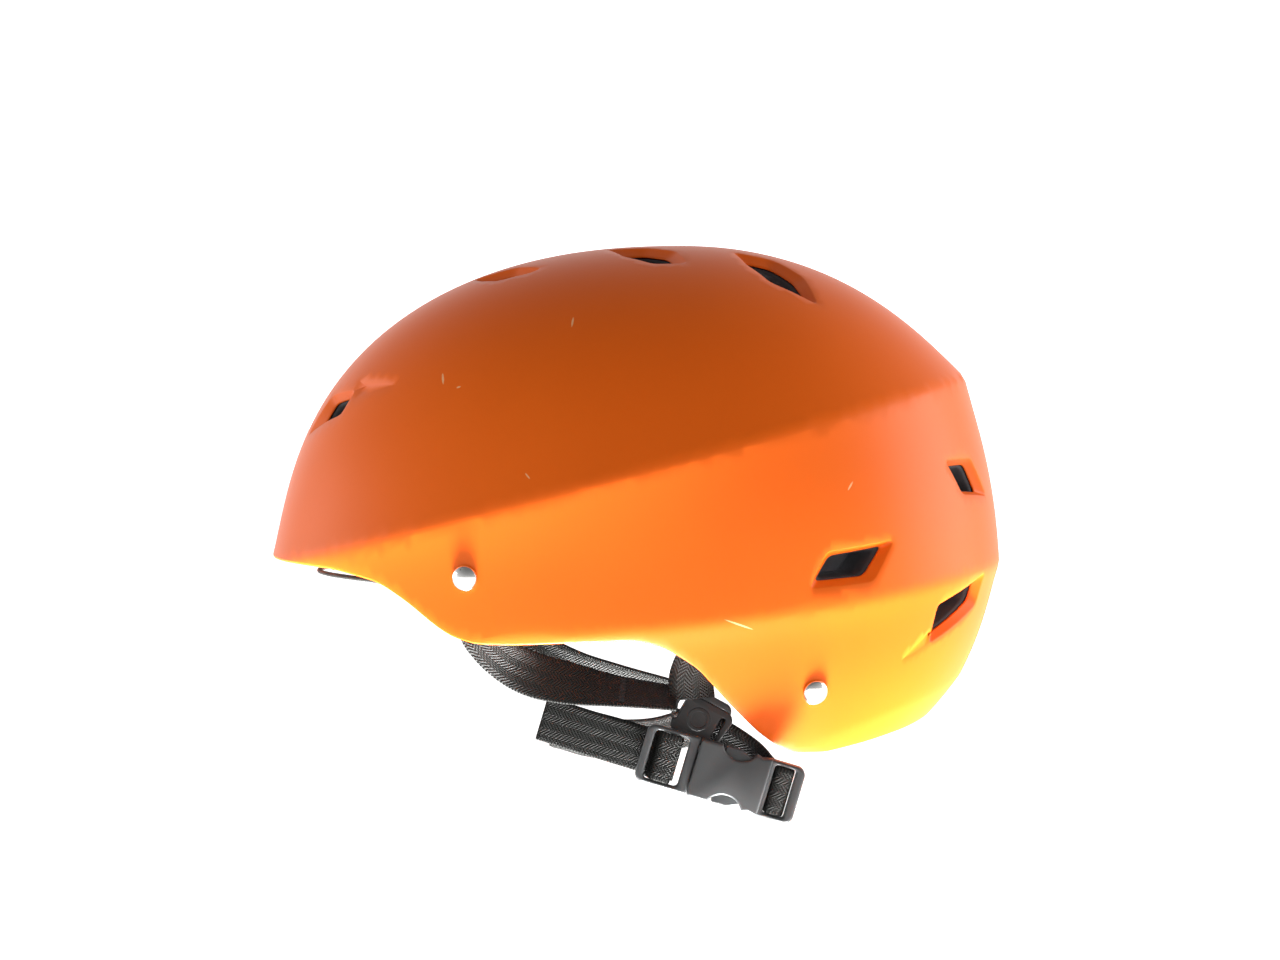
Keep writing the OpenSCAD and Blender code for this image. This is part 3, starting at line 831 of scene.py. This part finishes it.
# Bar tacks: webbing, and distance of the tack from its start, mm
TACKS = [("front_strap_left", 92.0), ("front_strap_right", 98.0), ("rear_strap_left", 62.0),
         ("rear_strap_right", 62.0), ("chin_strap_left", 7.0), ("chin_strap_left", 26.0),
         ("chin_strap_right", 196.0), ("chin_strap_right", 190.0)]


def stitch_row(name, piece, distance):
    """A bar tack: short threads side by side across the webbing, at one distance along it."""
    mesh = piece.data
    weave = np.array([tuple(v.vector) for v in mesh.attributes["weave"].data])/MM
    place = np.array([tuple(v.co) for v in mesh.vertices])/MM
    rings = weave.shape[0]//len(SECTION)
    run = weave[:, 1].reshape(rings, len(SECTION))[:, 0]
    k = int(np.clip(np.searchsorted(run, distance), 1, rings - 1))
    share = (distance - run[k - 1])/max(run[k] - run[k - 1], 1e-6)
    rows = place.reshape(rings, len(SECTION), 3)
    ring = rows[k - 1]*(1 - share) + rows[k]*share
    left, right, face = ring[0], ring[10], ring[5]
    middle = (left + right)/2
    out = (face - middle)/np.linalg.norm(face - middle)
    across = (right - left)/np.linalg.norm(right - left)
    ahead = np.cross(out, across)
    points, faces = [], []
    count = 15
    for i in range(count):
        lean = 0.25*(-1)**i + random.uniform(-0.08, 0.08)
        here = face + across*(i - (count - 1)/2)*0.86
        start = len(points)
        for u, h in ((-1.15, -0.12), (-0.85, 0.2), (0.0, 0.3), (0.85, 0.2), (1.15, -0.12)):
            for w, lift in ((-0.3, -0.25), (-0.16, 0.05), (0.16, 0.05), (0.3, -0.25)):
                points.append(here + ahead*u + across*(w + lean*u*0.5) + out*(h + lift))
        faces += ring_faces(5, 4, start)
        faces += [tuple(start + c for c in (3, 2, 1, 0)), tuple(start + 16 + c for c in range(4))]
    return outward(mesh_object(name, points, faces), merge=False)


tacks = []
for number, (node, distance) in enumerate(TACKS):
    tack = stitch_row("bar_tack_%d" % (number + 1), webs[node], distance)
    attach(tack, "helmet")
    tacks.append(tack)


# ---- moulded plastics

def plate(name, outlines, half, bevel, place):
    """Flat plate with rounded edges from closed outlines, holes included."""
    curve = bpy.data.curves.new(name, "CURVE")
    curve.dimensions = "2D"
    curve.fill_mode = "BOTH"
    curve.extrude = half - bevel
    curve.bevel_depth = bevel
    curve.bevel_resolution = 2
    curve.offset = -bevel
    for loop in outlines:
        spline = curve.splines.new("POLY")
        spline.points.add(len(loop) - 1)
        for point, (x, y) in zip(spline.points, loop):
            point.co = (x, y, 0, 1)
        spline.use_cyclic_u = True
    holder = bpy.data.objects.new(name, curve)
    scene.collection.objects.link(holder)
    graph = bpy.context.evaluated_depsgraph_get()
    mesh = bpy.data.meshes.new_from_object(holder.evaluated_get(graph))
    bpy.data.objects.remove(holder)
    points = [place(*v.co) for v in mesh.vertices]
    faces = [tuple(f.vertices) for f in mesh.polygons]
    bpy.data.meshes.remove(mesh)
    return outward(mesh_object(name, points, faces))


def box_at(low, high):
    """Cutter between two corners given in the buckle's own distances."""
    corners = [(x, y, z) for x in (low[0], high[0]) for y in (low[1], high[1])
               for z in (low[2], high[2])]
    return outward(mesh_object("cutter", [in_buckle(*c) for c in corners],
                               [(0, 1, 3, 2), (4, 6, 7, 5), (0, 4, 5, 1), (2, 3, 7, 6),
                                (0, 2, 6, 4), (1, 5, 7, 3)], smooth=False))


def cut_away(piece, cutters):
    for cutter in cutters:
        step = piece.modifiers.new("cut", "BOOLEAN")
        step.object = cutter
        step.solver = "EXACT"
    keep_modifiers(piece)
    for cutter in cutters:
        bpy.data.objects.remove(cutter)
    return piece


def crisp(piece, angle=38):
    """Smooth shading that keeps sharp edges."""
    select([piece])
    bpy.ops.object.shade_smooth_by_angle(angle=math.radians(angle))
    return piece


def arc(x, y, r, start, end, steps):
    return [(x + r*math.cos(math.radians(start + (end - start)*k/steps)),
             y + r*math.sin(math.radians(start + (end - start)*k/steps)))
            for k in range(steps + 1)]


def rounded_box(x0, y0, x1, y1, r):
    """Closed outline, counter-clockwise."""
    steps = 5
    return (arc(x1 - r, y1 - r, r, 0, 90, steps) + arc(x0 + r, y1 - r, r, 90, 180, steps)
            + arc(x0 + r, y0 + r, r, 180, 270, steps) + arc(x1 - r, y0 + r, r, 270, 360, steps))


HALF = 21.5/2
NOTCH_AT, NOTCH_OUT, NOTCH_R = -14.5, 3.5, 7.5
FRAME_END, BODY_END, SOCKET_END = 20.2, -27.0, -40.0

notch_angle = math.degrees(math.asin(NOTCH_OUT/NOTCH_R))
upper = (arc(-1.1, HALF - 1.1, 1.1, 0, 90, 4)
         + arc(NOTCH_AT, HALF + NOTCH_OUT, NOTCH_R, -notch_angle, -180 + notch_angle, 14)
         + [(-23.2, HALF - 0.7), (-25, HALF - 0.3), (-27, HALF)])
body_outline = upper + [(x, -y) for x, y in reversed(upper)]
socket_body = plate("socket_body", [body_outline], 4.5, 0.9, in_buckle)
cavity = [box_at((-22, 2 - HALF, -3), (1, HALF - 2, 3))]
for side in (-1, 1):
    y = side*(HALF - 0.75)
    cavity.append(box_at((-20.2, y - 2, -3), (-8.8, y + 2, 3)))
crisp(cut_away(socket_body, cavity))
end_outer = (arc(SOCKET_END + 3.2, HALF - 3.2, 3.2, 90, 180, 6)
             + arc(SOCKET_END + 3.2, -HALF + 3.2, 3.2, 180, 270, 6)
             + [(BODY_END + 1.2, -HALF), (BODY_END + 1.2, HALF)])
end_window = rounded_box(SOCKET_END + 3.5, 1.6 - HALF, SOCKET_END + 11.5, HALF - 1.6, 1.0)[::-1]
socket_end = crisp(plate("socket_end", [end_outer, end_window], 3.0, 0.9, in_buckle))

frame_outline = (arc(FRAME_END - 3, HALF - 3, 3.0, 0, 90, 7)
                 + arc(1.0, HALF - 0.8, 0.8, 90, 180, 3) + arc(1.0, -HALF + 0.8, 0.8, 180, 270, 3)
                 + arc(FRAME_END - 3, -HALF + 3, 3.0, -90, 0, 7))
frame_window = rounded_box(4, 1.5 - HALF, 17.2, HALF - 1.5, 1.6)[::-1]
plug_frame = plate("plug_frame", [frame_outline, frame_window], 2.5, 0.8, in_buckle)
tongue = plate("plug_tongue", [rounded_box(-14, -2, 0.6, 2, 0.9)], 1.5, 0.4, in_buckle)


def crossbar_place(x, y, z):
    return in_buckle(x, z, y)


def crossbar(name, s, width):
    """Round bar across the buckle that the webbing turns over."""
    return crisp(plate(name, [arc(s, 0, 1.45, 0, 340, 17)], width/2, 0.1, crossbar_place))


socket = joined("buckle_socket", [socket_body, socket_end,
                                  crossbar("socket_bar", -32.5, 2*HALF - 2.8)])
plug = joined("buckle_plug_frame", [crisp(plug_frame), crisp(tongue),
                                    crossbar("plug_bar", 10.5, 2*HALF - 2.6)])

PRONG = [(0.4, 5.8), (0.4, 8.3), (-9.2, 8.3), (-9.5, 10.5), (-10.2, 10.7), (-15, 10.7),
         (-19.4, 8.9), (-20.2, 7.8), (-20.2, 5.8)]
prongs = []
for name, side in (("catch_upper", 1), ("catch_lower", -1)):
    outline = [(p.x, p.y*side) for p in rounded(PRONG, 0.5)]
    if side < 0:
        outline = outline[::-1]
    prongs.append(crisp(plate(name, [outline[::-1]], 2.6, 0.45, in_buckle)))

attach(socket, "helmet")
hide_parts("buckle_female")
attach(plug, "buckle_plug")
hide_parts("buckle_male")
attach(prongs[0], "upper_prong")
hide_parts("prong_upper")
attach(prongs[1], "lower_prong")
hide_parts("prong_lower")


def divider_place(centre, side):
    """Local x and y of a divider turned 60 degrees in the side plane, z outward."""
    turn = math.radians(60)

    def place(x, y, z):
        a, b = x*math.cos(turn) - y*math.sin(turn), x*math.sin(turn) + y*math.cos(turn)
        return (centre[0] + side*z, centre[1] + b, centre[2] - a)
    return place


def hull_outline(circles, steps=9):
    """Outline round circles given counter-clockwise."""
    out = []
    count = len(circles)
    for i, (x, y, r) in enumerate(circles):
        before, after = circles[i - 1], circles[(i + 1) % count]
        a0 = math.degrees(math.atan2(y - before[1], x - before[0])) - 90
        a1 = math.degrees(math.atan2(after[1] - y, after[0] - x)) - 90
        while a1 < a0:
            a1 += 360
        out += arc(x, y, r, a0, a1, steps)
    return out


dividers = []
for name, centre, side in (("strap_divider_left", (86.6, 22.5, -56), 1),
                           ("strap_divider_right", (-82.5, 25.5, -67), -1)):
    outer = hull_outline([(8, 4, 3.5), (-8, 3.5, 3.5), (-5, -5, 3.5), (7, -5, 3.5)])
    slots = [rounded_box(-9.35, -4, -7.45, 4, 0.8)[::-1],
             rounded_box(7.05, -4.75, 8.95, 4.75, 0.8)[::-1]]
    place = divider_place(centre, side)
    body = crisp(plate(name + "_plate", [outer] + slots, 1.5, 0.5, place))
    ring_edges = [arc(0, 0, 4.4, 0, 350, 35), arc(0, 0, 3.0, 0, 345, 23)[::-1]]
    ring = plate(name + "_ring", ring_edges, 1.85, 0.3, place)
    piece = joined("divider_" + name.rsplit("_", 1)[1], [body, crisp(ring)])
    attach(piece, "helmet")
    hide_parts(name)
    dividers.append(piece)


# ---- rivets

def rivet(name, y, z, side):
    """Domed head with a rolled edge over its shank, turned about the rivet's own axis."""
    n = side_normal(y, z)
    foot = np.array([side_x(y, z, 0.0), y, z])
    u = np.cross(n, [0.0, 0.0, 1.0])
    u /= np.linalg.norm(u)
    v = np.cross(n, u)
    dome, top, edge = 7.2, 3.1, 4.75
    profile = [(0.0, top)]
    for k in range(1, 15):
        r = edge*k/15
        profile.append((r, top - dome + math.sqrt(dome*dome - r*r)))
    profile += [(4.72, 1.0), (4.85, 0.75), (4.85, 0.45), (4.7, 0.28), (2.1, 0.3), (2.0, -6.4),
                (2.5, -6.9), (2.9, -7.3), (2.7, -7.7), (1.6, -7.75), (0.0, -7.6)]
    steps = 48
    points = []
    for r, h in profile:
        for k in range(steps):
            a = 2*math.pi*k/steps
            p = foot + u*math.cos(a)*r + v*math.sin(a)*r + n*h
            points.append((p[0]*side, p[1], p[2]))
    return outward(mesh_object(name, points, ring_faces(len(profile), steps)))


rivets = joined("dome_rivets", [rivet("rivet_%d" % (2*i + (side > 0)), y, z, side)
                                for i, (y, z) in enumerate(RIVETS) for side in (-1, 1)])
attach(rivets, "helmet")
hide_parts("strap_rivets")


# ---- node trees

class Nodes:
    """Short way to write a procedural material, or the world."""

    def __init__(self, name, world=False):
        self.material = (bpy.data.worlds if world else bpy.data.materials).new(name)
        self.material.use_nodes = True
        self.tree = self.material.node_tree
        self.shader = self.tree.nodes["Background" if world else "Principled BSDF"]

    def add(self, kind, inputs=None, **settings):
        node = self.tree.nodes.new("ShaderNode" + kind)
        for key, value in settings.items():
            setattr(node, key, value)
        for key, value in (inputs or {}).items():
            self.put(node.inputs[key], value)
        return node

    def put(self, socket, value):
        if isinstance(value, bpy.types.NodeSocket):
            self.tree.links.new(value, socket)
        else:
            socket.default_value = value

    def set(self, **values):
        for key, value in values.items():
            self.put(self.shader.inputs[key.replace("_", " ")], value)

    def math(self, operation, a, b=0.0, c=0.0):
        node = self.add("Math", operation=operation)
        for socket, value in zip(node.inputs, (a, b, c)):
            self.put(socket, value)
        return node.outputs[0]

    def wave(self, value, period):
        """Sine of a value, between nought and one."""
        turn = self.math("SINE", self.math("MULTIPLY", value, 2*math.pi/period))
        return self.math("MULTIPLY_ADD", turn, 0.5, 0.5)

    def noise(self, scale, detail=2.0, roughness=0.5):
        node = self.add("TexNoise", {"Scale": scale, "Detail": detail, "Roughness": roughness,
                                     "Vector": self.place()})
        return node.outputs["Fac"]

    def place(self):
        if not hasattr(self, "_place"):
            self._place = self.add("TexCoord").outputs["Object"]
        return self._place

    def ramp(self, value, stops):
        """Colour ramp; a stop's colour is a triple or a grey level."""
        node = self.add("ValToRGB")
        elements = node.color_ramp.elements
        while len(elements) < len(stops):
            elements.new(0.5)
        for element, (position, colour) in zip(elements, stops):
            element.position = position
            element.color = (*(colour if isinstance(colour, tuple) else (colour,)*3), 1)
        self.put(node.inputs[0], value)
        return node.outputs[0]

    def mix(self, fac, a, b):
        node = self.add("Mix", data_type="RGBA")
        self.put(node.inputs[0], fac)
        self.put(node.inputs[6], a if isinstance(a, bpy.types.NodeSocket) else (*a, 1))
        self.put(node.inputs[7], b if isinstance(b, bpy.types.NodeSocket) else (*b, 1))
        return node.outputs[2]

    def bump(self, height, strength, distance, normal=None):
        node = self.add("Bump", {"Height": height, "Strength": strength, "Distance": distance})
        if normal is not None:
            self.put(node.inputs["Normal"], normal)
        return node.outputs[0]


# ---- camera
VIEW_AZ, VIEW_EL, VIEW_DISTANCE = 90.0, 2.0, 1.8
VIEW_TARGET = Vector((0.0, 0.00096, 0.029))
FIELD_WIDTH = 0.494
SENSOR = 36.0


def add_camera():
    a, e = math.radians(VIEW_AZ), math.radians(VIEW_EL)
    toward = Vector((math.cos(e)*math.sin(a), -math.cos(e)*math.cos(a), math.sin(e)))
    data = bpy.data.cameras.new("camera")
    data.sensor_width = SENSOR
    data.lens = SENSOR*VIEW_DISTANCE/FIELD_WIDTH
    data.clip_end = 20
    camera = bpy.data.objects.new("camera", data)
    camera.location = VIEW_TARGET + toward*VIEW_DISTANCE
    camera.rotation_euler = (-toward).to_track_quat("-Z", "Y").to_euler()
    scene.collection.objects.link(camera)
    scene.camera = camera


add_camera()


# ---- floor and light

def light(name, place, target, size, power, spread=180):
    data = bpy.data.lights.new(name, "AREA")
    data.shape = "RECTANGLE"
    data.size, data.size_y = size
    data.energy = power
    data.spread = math.radians(spread)
    lamp = bpy.data.objects.new(name, data)
    lamp.location = place
    lamp.rotation_euler = (Vector(target) - Vector(place)).to_track_quat("-Z", "Y").to_euler()
    scene.collection.objects.link(lamp)


# The room is brightest low down and behind the helmet: direction that it darkens towards, and
# its levels along that direction
SKY_AXIS = (0.45, 0.0, 1.0)
SKY = ((0.25, 1.0), (0.5, 0.62), (0.66, 0.38), (0.83, 0.2), (1.0, 0.1))
SKY_STRENGTH = 1.75
FLOOR_REACH = 6000


def studio():
    low = cad_box[0][2] - 0.001
    points = [(x*FLOOR_REACH, y*FLOOR_REACH, low/MM)
              for x, y in ((-1, -1), (1, -1), (1, 1), (-1, 1))]
    floor = mesh_object("floor", points, [(0, 1, 2, 3)], smooth=False)
    m = Nodes("floor")
    m.set(Base_Color=(0.9, 0.9, 0.9, 1), Roughness=0.9, Specular_IOR_Level=0.1,
          Emission_Color=(1, 1, 1, 1), Emission_Strength=0.85)
    floor.data.materials.append(m.material)
    room = Nodes("studio", world=True)
    tilt = room.add("VectorMath", {0: room.add("TexCoord").outputs["Generated"], 1: SKY_AXIS},
                    operation="DOT_PRODUCT")
    height = room.add("MapRange", {"Value": tilt.outputs["Value"], "From Min": -1.0})
    seen = room.add("LightPath").outputs["Is Camera Ray"]
    room.set(Color=room.mix(seen, room.ramp(height.outputs["Result"], SKY), (1.1, 1.1, 1.1)),
             Strength=SKY_STRENGTH)
    scene.world = room.material
    light("table_glow", (0.1, 0.01, low + 0.002), (0.1, 0.01, 1.0), (0.6, 0.6), 13.0,
          spread=38)
    light("back_side", (-0.1, 1.3, 0.25), (0, 0.05, 0.0), (1.0, 0.7), 11)
    light("brow_side", (-0.1, -1.3, 0.1), (0, -0.05, 0.0), (1.0, 0.6), 5)


studio()
scene.view_settings.view_transform = "Standard"


# ---- materials

# Scuffs of the left side: y and z of the middle, half length and width in mm, slope in degrees
SCUFFS = [(-72, 69, 2.4, 0.5, 95), (-66, 66, 1.0, 0.4, 20), (-24, 90, 2.2, 0.45, 80),
          (37, -20, 6.5, 0.4, -20), (78, 30, 2.2, 0.4, 60), (-40, 34, 1.6, 0.35, 130)]


def scuff_mask(m):
    """One on the scuffs of the left side, broken up by a fine noise."""
    place = m.add("SeparateXYZ", {"Vector": m.place()}).outputs
    most = 0.0
    for y, z, length, width, slope in SCUFFS:
        c, s = math.cos(math.radians(slope)), math.sin(math.radians(slope))
        dy = m.math("ADD", place["Y"], -y/1000)
        dz = m.math("ADD", place["Z"], -z/1000)
        along = m.math("MULTIPLY_ADD", dy, c, m.math("MULTIPLY", dz, s))
        across = m.math("MULTIPLY_ADD", dy, -s, m.math("MULTIPLY", dz, c))
        along = m.math("MULTIPLY", along, 1000/length)
        across = m.math("MULTIPLY", across, 1000/width)
        reach = m.math("MULTIPLY_ADD", along, along, m.math("MULTIPLY", across, across))
        most = m.math("MAXIMUM", most, m.math("SUBTRACT", 1.0, reach))
    broken = m.math("MULTIPLY", most, m.noise(1500, 3, 0.7))
    left = m.math("GREATER_THAN", place["X"], 0.0)
    return m.ramp(m.math("MULTIPLY", broken, left), [(0.08, 0), (0.3, 0.8)])


def orange_plastic():
    m = Nodes("orange_abs")
    tint = m.noise(9, 3)
    colour = m.mix(m.ramp(tint, [(0.35, 0), (0.7, 1)]),
                   (0.79, 0.117, 0.002), (0.83, 0.13, 0.003))
    colour = m.mix(scuff_mask(m), colour, (0.88, 0.5, 0.25))
    fine = m.noise(900, 2)
    m.set(Base_Color=colour, Roughness=0.42, Specular_IOR_Level=0.24,
          Normal=m.bump(fine, 0.08, 0.0002))
    return m.material


def pebbled_foam():
    m = Nodes("closed_cell_foam")
    cells = m.add("TexVoronoi", {"Scale": 620.0, "Vector": m.place()}).outputs["Distance"]
    patches = m.noise(35, 3)
    m.set(Base_Color=m.ramp(patches, [(0.3, (0.024, 0.024, 0.027)), (0.75, (0.042, 0.042, 0.046))]),
          Roughness=0.78)
    m.set(Normal=m.bump(cells, 0.35, 0.0004, m.bump(m.noise(120, 2), 0.2, 0.001)))
    return m.material


def brushed_knit():
    m = Nodes("brushed_knit")
    wale = m.add("TexWave", {"Scale": 420.0, "Distortion": 1.5, "Detail": 1.0, "Vector": m.place()},
                 bands_direction="DIAGONAL").outputs["Fac"]
    nap = m.noise(1500, 3, 0.7)
    height = m.math("ADD", m.math("MULTIPLY", wale, 0.5), nap)
    lint = m.ramp(m.noise(220, 4, 0.7), [(0.62, 0), (0.74, 0.35)])
    m.set(Base_Color=m.mix(lint, (0.017, 0.017, 0.019), (0.05, 0.05, 0.052)), Roughness=0.92,
          Normal=m.bump(height, 0.45, 0.0005), Sheen_Weight=0.25, Sheen_Roughness=0.5)
    return m.material


def herringbone():
    """Woven webbing: columns of slanted threads that turn back at each column."""
    m = Nodes("herringbone_webbing")
    weave = m.add("Attribute", attribute_name="weave", attribute_type="GEOMETRY").outputs["Vector"]
    parts = m.add("SeparateXYZ", {"Vector": weave})
    across, along = parts.outputs["X"], parts.outputs["Y"]
    # Width of a column; spacing of the slanted threads, the yarns and the ribs of the edge, metres
    column, pitch, yarn, rib = 0.00275, 0.00135, 0.00069, 0.0011
    slant = m.math("PINGPONG", m.math("ADD", across, 0.1*column + 20*column), column)
    twill = m.wave(m.math("ADD", along, m.math("MULTIPLY", slant, 0.95)), pitch)
    warp = m.wave(across, yarn)
    edge = m.ramp(m.math("MULTIPLY", m.math("ABSOLUTE", across), 100.0),
                  [(0.70, 0), (0.745, 1)])
    ribs = m.wave(along, rib)
    plain = m.math("ADD", m.math("MULTIPLY", twill, 0.8), m.math("MULTIPLY", warp, 0.3))
    height = m.add("Mix", data_type="FLOAT")
    m.put(height.inputs[0], edge)
    m.put(height.inputs[2], plain)
    m.put(height.inputs[3], ribs)
    level = m.math("ADD", height.outputs[0], m.math("MULTIPLY", m.noise(2500, 2), 0.25))
    fuzz = m.noise(60, 3)
    # Painted shade: the weave's colour follows its height, near black in the low parts between the
    # threads and paler on the thread tops
    shaded_weave = m.ramp(level, [(0.2, 0.004), (1.0, (0.03, 0.031, 0.028))])
    m.set(Base_Color=m.mix(m.ramp(fuzz, [(0.35, 0), (0.75, 0.5)]), shaded_weave,
                           (0.014, 0.0145, 0.013)),
          Roughness=0.62, Normal=m.bump(level, 0.85, 0.0005), Specular_IOR_Level=0.25)
    return m.material


def thread():
    m = Nodes("bonded_thread")
    twist = m.add("TexWave", {"Scale": 900.0, "Vector": m.place()}, bands_direction="DIAGONAL")
    m.set(Base_Color=(0.03, 0.03, 0.03, 1), Roughness=0.5,
          Normal=m.bump(twist.outputs["Fac"], 0.5, 0.0002))
    return m.material


def moulded(name, low, high, rough):
    """Injection-moulded acetal: fine spark texture, with a painted highlight that makes the rounded
    edges paler.
    """
    m = Nodes(name)
    spark = m.noise(1800, 3, 0.6)
    bevel = m.add("Bevel", {"Radius": 0.0007}, samples=4).outputs[0]
    flat = m.add("NewGeometry").outputs["Normal"]
    edge_bend = m.add("VectorMath", operation="DISTANCE")
    m.put(edge_bend.inputs[0], bevel)
    m.put(edge_bend.inputs[1], flat)
    # Painted highlight: where the bevelled normal turns away from the flat one, on the rounded
    # edges, the colour is painted paler, broken up by noise
    painted_edge_highlight = m.math("MULTIPLY", m.ramp(edge_bend.outputs["Value"], [(0.08, 0), (0.5, 1)]),
                 m.ramp(m.noise(180, 3), [(0.35, 0.1), (0.7, 0.8)]))
    tone = m.mix(m.ramp(m.noise(90, 3), [(0.3, 0), (0.8, 1)]), low, high)
    # The paler colour, 2.2 times the high tone, is the painted edge highlight
    m.set(Base_Color=m.mix(painted_edge_highlight, tone, tuple(2.2*c for c in high)), Roughness=rough,
          Normal=m.bump(spark, 0.25, 0.00015))
    return m.material


def bright_metal():
    m = Nodes("nickel_plate")
    haze = m.noise(700, 4, 0.7)
    spots = m.ramp(m.noise(260, 4, 0.65), [(0.66, 0), (0.72, 1)])
    m.set(Base_Color=m.mix(spots, (0.86, 0.85, 0.83), (0.45, 0.42, 0.38)), Metallic=1.0,
          Roughness=m.math("MULTIPLY_ADD", haze, 0.12, 0.06), Normal=m.bump(haze, 0.03, 0.0002))
    return m.material


def zinc_steel():
    m = Nodes("zinc_steel")
    m.set(Base_Color=(0.5, 0.5, 0.5, 1), Metallic=1.0,
          Roughness=m.math("MULTIPLY_ADD", m.noise(400, 3), 0.3, 0.3))
    return m.material


def hook_tape():
    m = Nodes("hook_tape")
    hooks = m.add("TexVoronoi", {"Scale": 1100.0, "Vector": m.place()}).outputs["Distance"]
    m.set(Base_Color=m.ramp(hooks, [(0.1, 0.05), (0.6, 0.01)]),
          Roughness=0.6, Normal=m.bump(hooks, 0.8, 0.0008))
    return m.material


for material, pieces in (
        (orange_plastic(), [shell]), (pebbled_foam(), [liner]),
        (brushed_knit(), [pad for pad, _ in pads]),
        (herringbone(), [piping for _, piping in pads] + list(webs.values())),
        (thread(), tacks), (bright_metal(), [rivets]),
        (moulded("acetal_buckle", (0.05, 0.054, 0.056), (0.062, 0.067, 0.068), 0.42),
         [socket, plug] + prongs),
        (moulded("acetal_divider", (0.022, 0.022, 0.022), (0.03, 0.03, 0.03), 0.5), dividers)):
    for piece in pieces:
        piece.data.materials.append(material)
for node, material in (("pad_fasteners", hook_tape()), ("rivet_washers", zinc_steel())):
    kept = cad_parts[node]
    kept.data.materials.clear()
    kept.data.materials.append(material)
